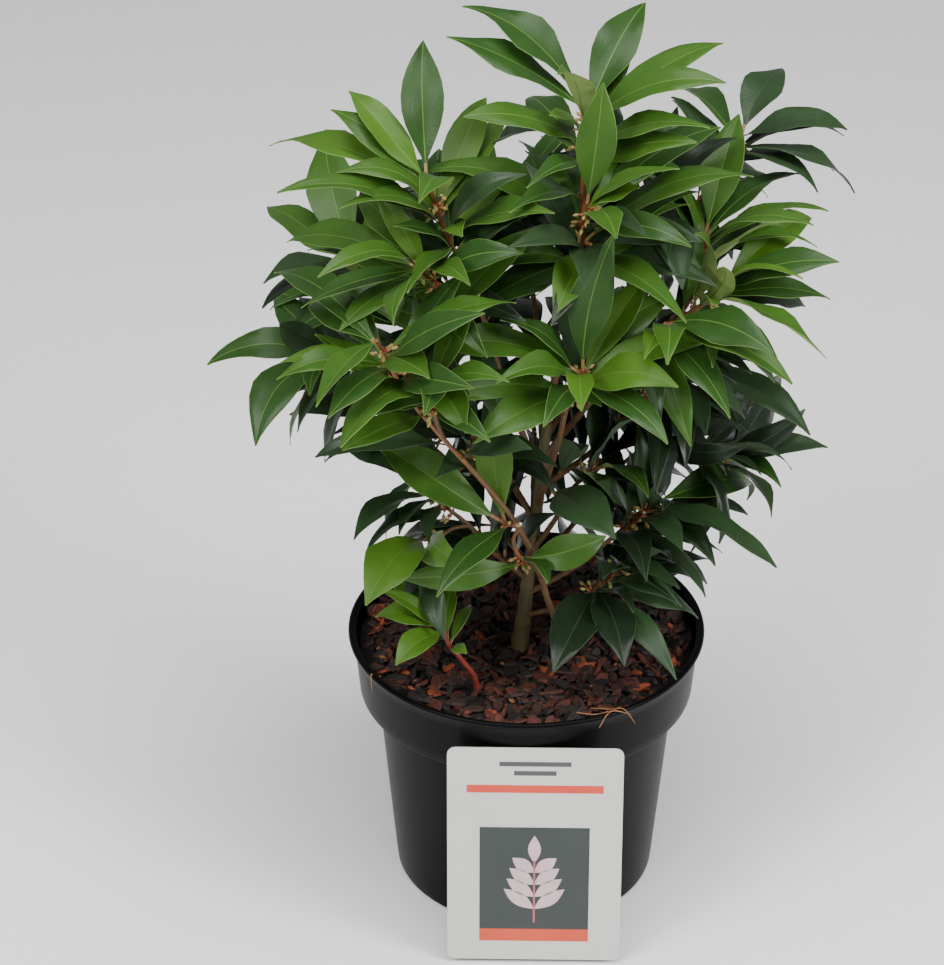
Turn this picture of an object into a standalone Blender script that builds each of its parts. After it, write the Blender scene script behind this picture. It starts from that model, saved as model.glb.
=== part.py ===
"""A potted winter gem sweet box: a young evergreen shrub of upright shoots in its round nursery pot.

Lengths in the tables are millimetres, and MM turns them into metres. +Z is up, the origin is the middle
of the pot's underside, and the side that carries the plant label faces -Y.
"""

import math
from collections import namedtuple

import bpy
import numpy as np
from mathutils.bvhtree import BVHTree

MM = 0.001
GAP = 0.3

# The pot: a 5 litre nursery container with a tall collar and a rolled lip
RIM_RADIUS = 112.5
POT_HEIGHT = 176.7
COLLAR_HEIGHT = 43.0
STEP_HEIGHT = POT_HEIGHT - COLLAR_HEIGHT
COLLAR_TOP_RADIUS = 109.4
COLLAR_FOOT_RADIUS = 105.6
BODY_TOP_RADIUS = 94.0
BASE_RADIUS = 83.0
BASE_ROUND = 3.0
COLLAR_ROUND = 1.5
LIP_ROUND = 1.9
LIP_DROP = 6.0
WALL = 2.0
FLOOR = 3.0
POT_STEPS = 32
DRAIN_HOLES = 6
DRAIN_RADIUS = 5.0
DRAIN_CIRCLE = 58.0

# The bark-topped soil, which ends a little below the rim
SOIL_TOP = 166.5
SOIL_INSET = WALL + GAP + 0.6

# The plant label, a plastic card that leans on the collar
CARD_WIDTH = 108.0
CARD_HEIGHT = 155.0
CARD_THICKNESS = 0.8
CARD_CORNER = 5.0
CARD_MIDDLE_X = 6.5
CARD_FOOT = 3.0
CARD_FOOT_Y = -119.0
CARD_AIR = 0.5

# Leaves: lance shaped, folded along the midrib, and arched
LEAF_WIDTH_SHARE = 0.26
LEAF_THICKNESS = 1.2
ROOT_HALF_WIDTH = 1.1
STATIONS = (0.0, 0.28, 0.66)
WIDTH_AT_STATION = (0.0, 0.92, 0.88)
ARCH_SHARE = 0.1
CLEARANCE = 0.7
STEEPEST = 84
LOWEST_TIP = 4
# A leaf turns its face up and to the light, and away from its stem
LIGHT = (0, -0.3, 0.6)
STEM_SWAY = 0.5

# How a shoot carries them: close together from its tip down, each turned from the last
GOLDEN_ANGLE = 137.5
LEAF_SPACING = 3.2
FIRST_LEAF_BELOW_TIP = 1.5
LOWEST_LEAF_SHARE = 0.15
OPENING_AT_TIP = 46
OPENING_GAINED = 34
OPENING_SPREAD = 8
SHOOT_TURN = 47
TURN_SPREAD = 10
LENGTH_SHARE = 0.92
LENGTH_SPREAD = 0.1
TWIST = 0.3
STEM_SIDES = 4
TWIG_RADIUS = 1.3
TIP_RADIUS = 1.1
FAR_TWIG = 25

TRUNK_PATH = ((-4, -14, SOIL_TOP + GAP), (1, -9, 215), (7, -5, 273), (12, -2, 325))
TRUNK_RADII = (5.6, 3.9, 3.4, 2.8)

Shoot = namedtuple("Shoot", "tip leaves length aims")
Bough = namedtuple("Bough", "name foot tip radius tint shoots")

# A bough's foot is a height on the trunk, or its own point on the soil. The first shoot is the mass's own
# stem, and the others are its twigs. Each has its tip, how many leaves it carries and how long they are.
# The leaves that make its outline come first, from the tip down: the way they head round from +X and rise
# above level, in degrees, their length, and the shares of it that are the width and the arch, where those
# aren't the usual ones. None is a bare place.
BOUGHS = (
    Bough("leader", 325, (24, -6, 395), 2.6, "fresh", (
        Shoot((32, 0, 538), 12, 88, ((158, 32, 92, 0.3), (176, 28, 92, 0.27, 0.05),
                                     (59, 34, 82, 0.33, 0.05), (19, 24, 92, 0.27, 0.06),
                                     (350, 23, 88, 0.26, 0.13), (148, -29, 85, 0.34, 0.12), None,
                                     (222, 42, 38, 0.5, 0.12))),
        Shoot((33, -34, 491), 7, 84, ((50, 80, 73, 0.33, 0.04), (336, 36, 38, 0.5), (55, 18, 84, 0.28),
                                      (38, 15, 105, 0.2, 0.13), None, (45, 14, 92))),
        Shoot((31, -14, 458), 9, 84, ((172, 19, 106, 0.22, 0.17), (7, 21, 108, 0.22, 0.12),
                                      (103, 18, 78, 0.38), (254, -12, 60, 0.42, 0.15),
                                      (316, -8, 86, 0.3, 0.15), (200, -18, 70, 0.36, 0.12),
                                      (190, 0, 52, 0.3, 0.2), (12, 28, 76, 0.16, 0.16),
                                      (5, 20, 62, 0.18, 0.14))))),
    Bough("front", 268, (22, -42, 355), 2.1, "fresh", (
        Shoot((32, -60, 395), 14, 82, ((30, 77, 87, 0.29, 0.04), (180, 10, 93, 0.26, 0.13),
                                       (219, 16, 66, 0.3), (42, 11, 80, 0.28, 0.13), (5, 13, 81),
                                       (328, 12, 72, 0.36), (226, -1, 84, 0.33), (200, 6, 86, 0.25),
                                       (195, 0, 44, 0.45), None, None, None, None,
                                       (305, 25, 38, 0.55, 0.12))),)),
    Bough("left_front", (24, -26, SOIL_TOP + GAP), (9, -38, 236), 2.3, "fresh", (
        Shoot((-88, -85, 427), 11, 84, ((247, -1, 80), (126, -3, 72, 0.3), (133, 7, 98),
                                        (12, 18, 82, 0.24, 0.14), (303, 11, 50, 0.45))),
        Shoot((-58, -80, 398), 9, 78, ((237, -1, 88, 0.33), (298, -9, 48, 0.45), None, None, None,
                                       (232, 15, 66), (200, 6, 36, 0.45))),
        Shoot((-16, -55, 287), 3, 82, ((160, 25, 90, 0.33), (112, 78, 78, 0.29, 0.03),
                                       (233, -13, 72, 0.3))),
        Shoot((0, -45, 250), 3, 75, ((188, -4, 78), (5, 16, 53, 0.44), (300, -1, 34, 0.5))))),
    Bough("left_upper", 285, (-22, -12, 385), 2.2, "fresh", (
        Shoot((-61, -18, 501), 18, 84, ((93, 52, 80, 0.34, 0.04), (145, 36, 70, 0.32, 0.05), None, None,
                                        (156, 5, 107, 0.2, 0.13), None, None, None, None,
                                        (63, 21, 90, 0.24), (198, 28, 75, 0.25, 0.16),
                                        (198, 20, 106, 0.22, 0.13), (288, 20, 36, 0.4),
                                        (30, 35, 60, 0.36, 0.05))),
        Shoot((-67, -42, 454), 10, 78, ((226, 15, 80, 0.23, 0.16), (126, 16, 66, 0.35), (150, -4, 95))),
        Shoot((-56, -34, 402), 7, 84, ((8, 46, 98, 0.22, 0.1),)))),
    Bough("right", 300, (52, -10, 372), 2.2, "fresh", (
        Shoot((114, -10, 423), 13, 82, ((48, 10, 88), (343, 24, 80, 0.3), (310, 0, 98, 0.2),
                                        (30, -18, 74, 0.3), (330, 28, 72, 0.2, 0.16), (304, 37, 45, 0.4),
                                        (102, 33, 88, 0.36))),
        Shoot((105, 20, 445), 7, 80, ((70, 36, 80, 0.33, 0.04), (41, 14, 80, 0.3),
                                      (333, 23, 76, 0.2, 0.16))),
        Shoot((80, -42, 416), 9, 82, ((316, 9, 84, 0.3), (321, -3, 94))))),
    Bough("back_right", 315, (62, 32, 395), 2.1, "old", (
        Shoot((128, 70, 488), 11, 78, ((64, 16, 64, 0.4), (358, 6, 65, 0.37, 0.12),
                                       (117, -3, 94, 0.33, 0.13), (346, -16, 78, 0.3, 0.14),
                                       (330, -12, 60, 0.28), (130, -12, 80, 0.33, 0.12))),
        Shoot((69, 30, 464), 10, 78, ((80, 12, 78), (20, 30, 66), (284, -12, 80, 0.33), (278, -2, 70))))),
    Bough("right_middle", 278, (52, 12, 312), 2.0, "old", (
        Shoot((86, 30, 346), 11, 80, ((325, -6, 104), (294, -12, 60, 0.33), (266, -29, 82, 0.18),
                                      (283, -23, 70), (310, -16, 66))),
        Shoot((125, 30, 278), 10, 76, ((62, 16, 84, 0.3), (0, 10, 67, 0.3), (310, -18, 54, 0.33),
                                       (320, 2, 54, 0.3))))),
    Bough("right_low", 205, (45, -10, 240), 1.9, "old", (
        Shoot((79, -10, 275), 10, 76, ((36, -5, 78, 0.32, 0.12), (319, -2, 98), (311, -11, 62),
                                       (95, 60, 70, 0.2))),)),
    Bough("right_foot", 190, (34, -24, 212), 1.8, "old", (
        Shoot((59, -20, 236), 5, 74, ((15, -6, 60, 0.3), (309, 14, 60))),
        Shoot((44, -30, 224), 3, 78, ((250, -9, 80, 0.4), (283, -10, 76, 0.36), (306, -7, 88, 0.2))))),
    Bough("middle", 235, (22, -20, 278), 1.9, "old", (
        Shoot((15, -34, 296), 1, 76, ((297, 8, 82, 0.4),)),
        Shoot((43, 4, 294), 5, 76, ((42, -2, 86), (301, 10, 64))))),
    Bough("back_left", 256, (-50, 30, 345), 2.1, "mid", (
        Shoot((-109, 60, 404), 11, 80, ((133, 4, 84, 0.36, 0.01), (108, 41, 92, 0.36, 0.05),
                                        (210, 6, 66, 0.35, 0.12), (207, -7, 68, 0.33, 0.12))),
        Shoot((-119, 28, 351), 9, 78, ((186, 0, 80, 0.27, 0.17), (233, -16, 86, 0.4, 0.18),
                                       (165, -30, 64, 0.38))))),
    Bough("left_low", 215, (-30, -6, 246), 1.9, "old", (
        Shoot((-60, 0, 275), 7, 72, ((143, 3, 76, 0.3, 0.15), (230, 2, 74, 0.3), (243, 2, 50),
                                     (262, 1, 48))),
        Shoot((-63, -30, 257), 3, 70, ((245, -1, 80, 0.44, 0.14), (309, 6, 62, 0.4))),
        Shoot((-27, -15, 322), 8, 76, ((165, -10, 80), (150, 20, 80))))),
    Bough("back", 300, (4, 46, 375), 2.1, "mid", (
        Shoot((-22, 72, 440), 11, 82, ((100, -2, 82), (150, 0, 84), (200, 20, 66), (279, 5, 76))),
        Shoot((42, 92, 426), 10, 82, ((60, 2, 86), (100, -5, 86), (240, 0, 78))))),
    Bough("back_low", 240, (4, 46, 290), 2.0, "old", (
        Shoot((-38, 84, 338), 10, 78, ((130, 0, 86), (90, -10, 86), (308, 15, 80), (295, 35, 72))),
        Shoot((44, 88, 326), 10, 78, ((70, 0, 86), (20, 5, 84), (234, 15, 80))))),
    Bough("back_left_low", 225, (-36, 36, 255), 1.9, "old", (
        Shoot((-78, 68, 290), 10, 76, ((150, -5, 84), (185, 5, 76), (110, -10, 80))),)),
    Bough("back_right_low", 220, (42, 38, 250), 1.9, "old", (
        Shoot((88, 74, 284), 10, 76, ((20, -5, 84), (60, -10, 84), (350, 10, 76))),)),
)

# The young red shoot that comes up by itself near the front of the pot
SUCKER_FOOT = (-29, -62, SOIL_TOP + GAP)
SUCKER_RADIUS = 2.0
SUCKER = Shoot((-51, -65, 217), 6, 46, ((178, 10, 42, 0.5), (229, -3, 44, 0.48), (125, 22, 62, 0.36),
                                        (83, 23, 42), (69, 13, 36), (300, 20, 20, 0.45)))

TINTS = {"fresh": (0.07, 0.20, 0.03), "mid": (0.045, 0.13, 0.025), "old": (0.02, 0.05, 0.02)}


def material(name, colour, roughness):
    made = bpy.data.materials.new(name)
    made.use_nodes = True
    shader = made.node_tree.nodes["Principled BSDF"]
    shader.inputs["Base Color"].default_value = (*colour, 1)
    shader.inputs["Roughness"].default_value = roughness
    return made


def place(name, vertices, faces, finish, edges=()):
    """An object in the scene from points in millimetres."""
    mesh = bpy.data.meshes.new(name)
    mesh.from_pydata((np.asarray(vertices) * MM).tolist(), edges, faces)
    mesh.materials.append(finish)
    placed = bpy.data.objects.new(name, mesh)
    bpy.context.scene.collection.objects.link(placed)
    return placed


def unit(vector):
    return vector / np.linalg.norm(vector)


def turned(name, profile, finish):
    """A profile of (radius, height), which runs down its outer side, turned about the pot's axis."""
    points = [(radius, 0, height) for radius, height in profile]
    made = place(name, points, [], finish, edges=[(i, i + 1) for i in range(len(points) - 1)])
    screw = made.modifiers.new("Turn", "SCREW")
    screw.steps = screw.render_steps = POT_STEPS
    screw.use_merge_vertices = True
    screw.merge_threshold = 0.0001
    screw.use_smooth_shade = True
    return made


def arc(middle, radius, start, end, steps=3):
    """Points on a part of a circle in the profile's plane, angles in degrees."""
    angles = np.radians(np.linspace(start, end, steps + 1))
    return [(middle[0] + radius * math.cos(a), middle[1] + radius * math.sin(a)) for a in angles]


def outer_radius(height):
    """The body's outer radius: it widens evenly from the base to the step under the collar."""
    return BASE_RADIUS + (BODY_TOP_RADIUS - BASE_RADIUS) * height / STEP_HEIGHT


def collar_radius(height):
    """The collar's outer radius, from its foot to the underside of the rolled lip."""
    rise = (height - STEP_HEIGHT) / COLLAR_HEIGHT
    return COLLAR_FOOT_RADIUS + (COLLAR_TOP_RADIUS - COLLAR_FOOT_RADIUS) * rise


def build_pot():
    inner_step = STEP_HEIGHT + WALL
    profile = [(0, FLOOR), (outer_radius(FLOOR) - WALL - 1, FLOOR)]
    profile += [(BODY_TOP_RADIUS - WALL, inner_step - 3), (COLLAR_FOOT_RADIUS - WALL, inner_step + 2)]
    profile += [(COLLAR_TOP_RADIUS - WALL, POT_HEIGHT - 1)]
    profile += arc((RIM_RADIUS - LIP_ROUND, POT_HEIGHT - LIP_ROUND), LIP_ROUND, 90, -60)
    profile += [(collar_radius(POT_HEIGHT - LIP_DROP), POT_HEIGHT - LIP_DROP)]
    profile += arc((COLLAR_FOOT_RADIUS - COLLAR_ROUND, STEP_HEIGHT + COLLAR_ROUND), COLLAR_ROUND, 0, -90, 1)
    profile += [(BODY_TOP_RADIUS + 2, STEP_HEIGHT - 1), (BODY_TOP_RADIUS, STEP_HEIGHT - 4)]
    profile += arc((BASE_RADIUS - BASE_ROUND, BASE_ROUND), BASE_ROUND, 0, -90, 2) + [(0, 0)]
    pot = turned("pot", profile, material("black_plastic", (0.02, 0.02, 0.021), 0.4))
    holes = bpy.data.collections.new("drain_hole_cutters")
    bpy.context.scene.collection.children.link(holes)
    holes.hide_render = True
    for i in range(DRAIN_HOLES):
        angle = math.tau * i / DRAIN_HOLES
        bpy.ops.mesh.primitive_cylinder_add(
            vertices=12, radius=DRAIN_RADIUS * MM, depth=4 * FLOOR * MM,
            location=(DRAIN_CIRCLE * MM * math.cos(angle), DRAIN_CIRCLE * MM * math.sin(angle), 0))
        cutter = bpy.context.object
        cutter.name = f"drain_hole_cutter_{i}"
        cutter.display_type = "WIRE"
        cutter.hide_render = True
        for owner in list(cutter.users_collection):
            owner.objects.unlink(cutter)
        holes.objects.link(cutter)
    cut = pot.modifiers.new("Drain holes", "BOOLEAN")
    cut.operation = "DIFFERENCE"
    cut.operand_type = "COLLECTION"
    cut.collection = holes
    return pot


def build_soil():
    """The soil fills the pot, a hair inside its wall and over its floor."""
    inner_step = STEP_HEIGHT + WALL
    profile = [(0, SOIL_TOP), (collar_radius(SOIL_TOP) - SOIL_INSET, SOIL_TOP)]
    profile += [(COLLAR_FOOT_RADIUS - SOIL_INSET, inner_step + 3)]
    profile += [(BODY_TOP_RADIUS - SOIL_INSET, inner_step - 3)]
    profile += [(outer_radius(FLOOR) - SOIL_INSET - 1, FLOOR + GAP), (0, FLOOR + GAP)]
    return turned("soil", profile, material("bark_mulch", (0.12, 0.045, 0.02), 0.95))


def build_label():
    """A card with round corners. It is drawn upright and flat, given its thickness, and leant back."""
    half, outline = CARD_WIDTH / 2 - CARD_CORNER, []
    for x, z, start in ((half, CARD_HEIGHT - CARD_CORNER, 0), (-half, CARD_HEIGHT - CARD_CORNER, 90),
                        (-half, CARD_CORNER, 180), (half, CARD_CORNER, 270)):
        outline += [(px, 0, pz) for px, pz in arc((x, z), CARD_CORNER, start, start + 90, 4)]
    finish = material("label_card", (0.58, 0.57, 0.53), 0.4)
    card = place("label", outline, [list(range(len(outline)))], finish)
    rest_y = -(collar_radius(CARD_FOOT + CARD_HEIGHT) + CARD_AIR)
    card.location = (CARD_MIDDLE_X * MM, CARD_FOOT_Y * MM, CARD_FOOT * MM)
    card.rotation_euler = (-math.atan2(rest_y - CARD_FOOT_Y, CARD_HEIGHT), 0, 0)
    thick = card.modifiers.new("Thickness", "SOLIDIFY")
    thick.thickness = CARD_THICKNESS * MM
    thick.offset = 1
    return card


def curve(start, start_way, end, end_way, count):
    """A smooth path that leaves start along start_way and reaches end along end_way (a Hermite curve)."""
    start, end = np.asarray(start, float), np.asarray(end, float)
    reach = np.linalg.norm(end - start)
    t = np.linspace(0, 1, count)[:, None]
    return ((2 * t**3 - 3 * t**2 + 1) * start + (t**3 - 2 * t**2 + t) * reach * unit(start_way)
            + (3 * t**2 - 2 * t**3) * end + (t**3 - t**2) * reach * unit(end_way))


def ways(path):
    """The direction of the path at each of its points."""
    along = np.gradient(np.asarray(path, float), axis=0)
    return along / np.linalg.norm(along, axis=1, keepdims=True)


def tube(path, radii, sides=STEM_SIDES, grow=0.0):
    """(points, faces) of a closed tapering limb: a ring of points round each point of the path.

    A limb that rises from the soil is cut level there."""
    path = np.asarray(path, float)
    across = unit(np.cross(ways(path)[0], (0.3, 1.0, 0.1)))
    points = []
    for middle, way, radius in zip(path, ways(path), radii):
        across = unit(across - way * (across @ way))
        other = np.cross(way, across)
        for angle in np.arange(sides) * math.tau / sides:
            points.append(middle + (radius + grow) * (across * math.cos(angle) + other * math.sin(angle)))
    if path[0, 2] < SOIL_TOP + 1:
        for point in points[:sides]:
            point[2] = path[0, 2]
    faces = []
    for ring in range(len(path) - 1):
        for side in range(sides):
            a, b = ring * sides + side, ring * sides + (side + 1) % sides
            faces.append([a, b, b + sides, a + sides])
    faces.append(list(range(sides))[::-1])
    faces.append(list(range(len(points) - sides, len(points))))
    return np.array(points), faces


def leaf(root, way, up, length, wide, arch, first=0, grow=0.0):
    """(points, faces) of a closed leaf: three-cornered sections at the stations, and a point at the tip."""
    up = unit(up - way * (up @ way))
    across = np.cross(way, up)
    points = []
    for station, share in list(zip(STATIONS, WIDTH_AT_STATION))[first:]:
        middle = root + way * length * station + up * arch * length * 4 * station * (1 - station)
        half = max(share * wide * length / 2, ROOT_HALF_WIDTH) + grow
        points += [middle - across * half + up * grow, middle + across * half + up * grow]
        points.append(middle - up * (LEAF_THICKNESS + grow))
    points.append(root + way * (length + grow))
    rings = len(points) // 3
    faces = [[0, 1, 2]]
    for ring in range(rings - 1):
        for a, b in ((0, 1), (1, 2), (2, 0)):
            i, j = ring * 3 + a, ring * 3 + b
            faces += [[i, i + 3, j], [j, i + 3, j + 3]]
    last, tip = (rings - 1) * 3, len(points) - 1
    faces += [[last + a, tip, last + b] for a, b in ((0, 1), (1, 2), (2, 0))]
    return np.array(points), faces


class Space:
    """What is already taken. A new leaf keeps clear of every other node and of its own mass's leaves."""

    def __init__(self):
        self.taken = []

    def add(self, node, points, faces):
        tree = BVHTree.FromPolygons(points.tolist(), faces)
        self.taken.append((node, points.min(axis=0), points.max(axis=0), tree))

    def meets(self, points, faces, wanted):
        low, high = points.min(axis=0), points.max(axis=0)
        tree = None
        for node, other_low, other_high, other in self.taken:
            if wanted(node) and (low <= other_high).all() and (high >= other_low).all():
                tree = tree or BVHTree.FromPolygons(points.tolist(), faces)
                if tree.overlap(other):
                    return True
        return False

    def free(self, node, root, way, up, length, wide, arch):
        if root[2] + way[2] * length < SOIL_TOP + LOWEST_TIP:
            return False
        whole = leaf(root, way, up, length, wide, arch, grow=CLEARANCE)
        blade = leaf(root, way, up, length, wide, arch, first=1, grow=CLEARANCE)
        return not (self.meets(*whole, lambda other: other != node)
                    or self.meets(*blade, lambda other: other == node))


def heading(way_degrees, rise_degrees):
    a, b = math.radians(way_degrees), math.radians(rise_degrees)
    return np.array((math.cos(a) * math.cos(b), math.sin(a) * math.cos(b), math.sin(b)))


# Small turns that a leaf tries, in order, when its place is taken: heading, rise, share of its length
NUDGES = ((0, 0, 1), (0, 5, 1), (0, -5, 1), (6, 0, 1), (-6, 0, 1), (0, 10, 1), (0, -10, 1), (12, 0, 1),
          (-12, 0, 1), (16, 6, 0.95), (-16, 6, 0.95), (0, 0, 0.8), (24, -8, 0.85), (-24, -8, 0.85),
          (0, 24, 0.8))


def put_leaf(space, node, root, way, stem_way, length, wide=LEAF_WIDTH_SHARE, arch=ARCH_SHARE, twist=0.0):
    """The leaf at its aim or the nearest free turn from it, as (points, faces), or None."""
    level = math.degrees(math.atan2(way[1], way[0]))
    rise = math.degrees(math.asin(max(-1.0, min(1.0, way[2]))))
    for turn, lift, share in NUDGES:
        aimed = heading(level + turn, min(rise + lift, STEEPEST))
        up = stem_way * STEM_SWAY + LIGHT + np.cross(aimed, stem_way) * twist
        if space.free(node, root, aimed, up, length * share, wide, arch):
            made = leaf(root, aimed, up, length * share, wide, arch)
            space.add(node, *made)
            return made
    return None


def spiral_way(stem_way, turn, opening):
    """A leaf's direction: turned round the stem and opened away from it, both in degrees."""
    side = unit(np.cross(stem_way, (0.0, 1.0, 0.0)))
    other = np.cross(stem_way, side)
    a, b = math.radians(turn), math.radians(opening)
    return stem_way * math.cos(b) + (side * math.cos(a) + other * math.sin(a)) * math.sin(b)


def roots_of(path, count):
    """Where a shoot's leaves sit, from the tip down, and the stem's direction there."""
    lengths = np.concatenate([[0], np.cumsum(np.linalg.norm(np.diff(path, axis=0), axis=1))])
    for i in range(count):
        at = max(lengths[-1] - FIRST_LEAF_BELOW_TIP - LEAF_SPACING * i, lengths[-1] * LOWEST_LEAF_SHARE)
        point = np.array([np.interp(at, lengths, path[:, axis]) for axis in range(3)])
        way = np.array([np.interp(at, lengths, ways(path)[:, axis]) for axis in range(3)])
        yield point, unit(way)


def side_path(stem, tip):
    """A twig from the mass's own stem to its tip, leaving the stem a little below the nearest point."""
    tip = np.asarray(tip, float)
    apart = np.linalg.norm(stem - tip, axis=1)
    nearest = int(apart.argmin())
    back = max(1, nearest - 1 - int(apart[nearest] > FAR_TWIG))
    start = stem[back]
    return curve(start, ways(stem)[back] + unit(tip - start), tip, unit(tip - start) + (0, 0, 0.8), 4)


def grow_crown():
    """Boughs, stems and leaves. It gives the boughs' paths and, for each mass, the pieces to be fused."""
    trunk = np.array(TRUNK_PATH, float)
    heights = trunk[:, 2]
    space = Space()
    space.add("trunk", *tube(trunk, TRUNK_RADII))
    boughs, masses, shoots = [], {}, []
    for bough in BOUGHS:
        from_soil = not isinstance(bough.foot, int)
        if from_soil:
            foot = np.array(bough.foot, float)
        else:
            foot = np.array([np.interp(bough.foot, heights, trunk[:, axis]) for axis in range(3)])
        tip = np.array(bough.tip, float)
        lean = np.array((0.0, 0.0, 1.0)) if from_soil or bough.name == "leader" else unit(tip - foot)
        if bough.name == "leader":
            foot = foot + GAP * ways(trunk)[-1]
        path = curve(foot, lean, tip, unit(tip - foot) + (0, 0, 0.5), 5)
        radii = np.linspace(bough.radius, bough.radius * 0.8, len(path))
        boughs.append((bough, path, radii))
        space.add(f"bough_{bough.name}", *tube(path, radii))
        start = tip + ways(path)[-1] * GAP
        end = np.array(bough.shoots[0].tip, float)
        stem = curve(start, ways(path)[-1], end, unit(end - start) + (0, 0, 0.6), 6)
        add_stems(space, masses, shoots, bough, f"mass_{bough.name}", stem, radii[-1])
    foot, end = np.array(SUCKER_FOOT, float), np.array(SUCKER.tip, float)
    sucker = Bough("sucker", None, None, SUCKER_RADIUS, "fresh", (SUCKER,))
    stem = curve(foot, (0, 0, 1), end, (0, 0, 1), 5)
    add_stems(space, masses, shoots, sucker, "mass_sucker", stem, SUCKER_RADIUS)
    for node, shoot, path, number in shoots:
        for (root, stem_way), aim in zip(roots_of(path, shoot.leaves), shoot.aims):
            if aim is not None:
                turn, rise, *form = aim
                masses[node].append(put_leaf(space, node, root, heading(turn, rise), stem_way, *form))
    for node, shoot, path, number in shoots:
        chance = np.random.RandomState(number)
        others = list(enumerate(roots_of(path, shoot.leaves)))[len(shoot.aims):]
        for i, (root, stem_way) in others:
            jitter = chance.uniform(-1, 1, 4)
            opening = OPENING_AT_TIP + OPENING_GAINED * i / shoot.leaves + OPENING_SPREAD * jitter[0]
            turn = GOLDEN_ANGLE * i + SHOOT_TURN * number + TURN_SPREAD * jitter[1]
            way = spiral_way(stem_way, turn, opening)
            length = shoot.length * (LENGTH_SHARE + LENGTH_SPREAD * jitter[2])
            masses[node].append(put_leaf(space, node, root, way, stem_way, length, twist=TWIST * jitter[3]))
    return boughs, masses


def add_stems(space, masses, shoots, bough, node, stem, radius):
    """The mass's own stem and its side twigs go into its pieces, and its shoots onto the list to leaf."""
    masses[node] = []
    for i, shoot in enumerate(bough.shoots):
        path = stem if i == 0 else side_path(stem, shoot.tip)
        radii = np.linspace(radius if i == 0 else TWIG_RADIUS, TIP_RADIUS, len(path))
        made = tube(path, radii)
        masses[node].append(made)
        space.add(node, *made)
        shoots.append((node, shoot, path, len(shoots)))


def fuse(node, pieces, finish):
    """One solid from a mass's stem, twigs and leaves."""
    pieces = [piece for piece in pieces if piece is not None]
    whole = place(node, *pieces[0], finish)
    others = bpy.data.collections.new(f"{node}_pieces")
    bpy.context.scene.collection.children.link(others)
    for i, (points, faces) in enumerate(pieces[1:]):
        piece = place(f"{node}_piece_{i}", points, faces, finish)
        bpy.context.scene.collection.objects.unlink(piece)
        others.objects.link(piece)
    join = whole.modifiers.new("Join", "BOOLEAN")
    join.operation = "UNION"
    join.operand_type = "COLLECTION"
    join.collection = others
    join.solver = "EXACT"
    bpy.context.view_layer.update()
    graph = bpy.context.evaluated_depsgraph_get()
    joined = bpy.data.meshes.new_from_object(whole.evaluated_get(graph))
    whole.modifiers.clear()
    whole.data = joined
    for piece in list(others.objects):
        bpy.data.objects.remove(piece)
    bpy.data.collections.remove(others)
    return whole


def build_bough(bough, path, radii, trunk_cutter, bark):
    made = place(f"bough_{bough.name}", *tube(path, radii, sides=6), bark)
    if isinstance(bough.foot, int) and bough.name != "leader":
        cut = made.modifiers.new("Clear of the trunk", "BOOLEAN")
        cut.operation = "DIFFERENCE"
        cut.object = trunk_cutter
    return made


def main():
    for old in list(bpy.data.objects):
        bpy.data.objects.remove(old)
    build_pot()
    build_soil()
    build_label()
    bark = material("bark", (0.11, 0.085, 0.04), 0.7)
    place("trunk", *tube(TRUNK_PATH, TRUNK_RADII, sides=10), bark)
    cutter = place("trunk_cutter", *tube(TRUNK_PATH, TRUNK_RADII, sides=10, grow=GAP), bark)
    cutter.hide_render = True
    cutter.display_type = "WIRE"
    foliage = {tint: material(f"leaves_{tint}", colour, 0.45) for tint, colour in TINTS.items()}
    boughs, masses = grow_crown()
    for bough, path, radii in boughs:
        build_bough(bough, path, radii, cutter, bark)
    tints = {f"mass_{bough.name}": bough.tint for bough in BOUGHS}
    for node, pieces in masses.items():
        fuse(node, pieces, foliage[tints.get(node, "fresh")])
        print(node, sum(piece is not None for piece in pieces), "pieces of", len(pieces))


main()
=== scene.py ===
# %% [markdown]
# # A young evergreen shrub in its nursery pot
# The plant is a sweet box: upright green shoots with whorls of lance-shaped, glossy leaves, small clusters of
# flower buds at the leaf bases, bark chips on the soil and a plastic label that leans on the black pot.
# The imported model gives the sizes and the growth. Here every surface is worked out again, finer, in numpy.

# %% Load the frame
import math
from collections import namedtuple

import bpy
import numpy as np
from mathutils import Matrix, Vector
from mathutils.bvhtree import BVHTree


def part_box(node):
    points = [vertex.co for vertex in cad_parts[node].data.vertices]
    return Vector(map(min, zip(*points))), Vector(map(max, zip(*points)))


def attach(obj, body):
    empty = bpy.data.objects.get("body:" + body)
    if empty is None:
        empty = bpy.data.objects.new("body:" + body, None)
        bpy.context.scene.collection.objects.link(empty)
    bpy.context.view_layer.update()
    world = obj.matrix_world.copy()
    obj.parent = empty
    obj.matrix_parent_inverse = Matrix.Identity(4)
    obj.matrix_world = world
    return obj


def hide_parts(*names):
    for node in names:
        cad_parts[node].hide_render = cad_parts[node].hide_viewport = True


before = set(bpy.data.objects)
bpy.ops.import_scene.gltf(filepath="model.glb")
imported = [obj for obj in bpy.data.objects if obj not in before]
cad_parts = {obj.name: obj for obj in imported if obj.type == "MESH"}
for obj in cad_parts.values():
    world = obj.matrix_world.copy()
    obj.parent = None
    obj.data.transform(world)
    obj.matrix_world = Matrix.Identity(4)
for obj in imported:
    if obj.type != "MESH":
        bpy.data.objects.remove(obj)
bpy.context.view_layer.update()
MM = 0.001

# %% [markdown]
# ## Camera, floor and light
# The photograph looks down on the pot from a little more than two metres, at 31 degrees below level, through
# a long lens. The pot's rim is an ellipse there, and its height to width gives the angle. A plain pale floor
# and three soft lights stand in for the photographer's table: one from either side, which draws the long
# reflections on the pot, and one from above, which lights the leaves.

# %% Camera
PHOTO_SIZE = (944, 965)
SENSOR = 36.0
FOCAL_PIXELS = 3500.0

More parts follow.
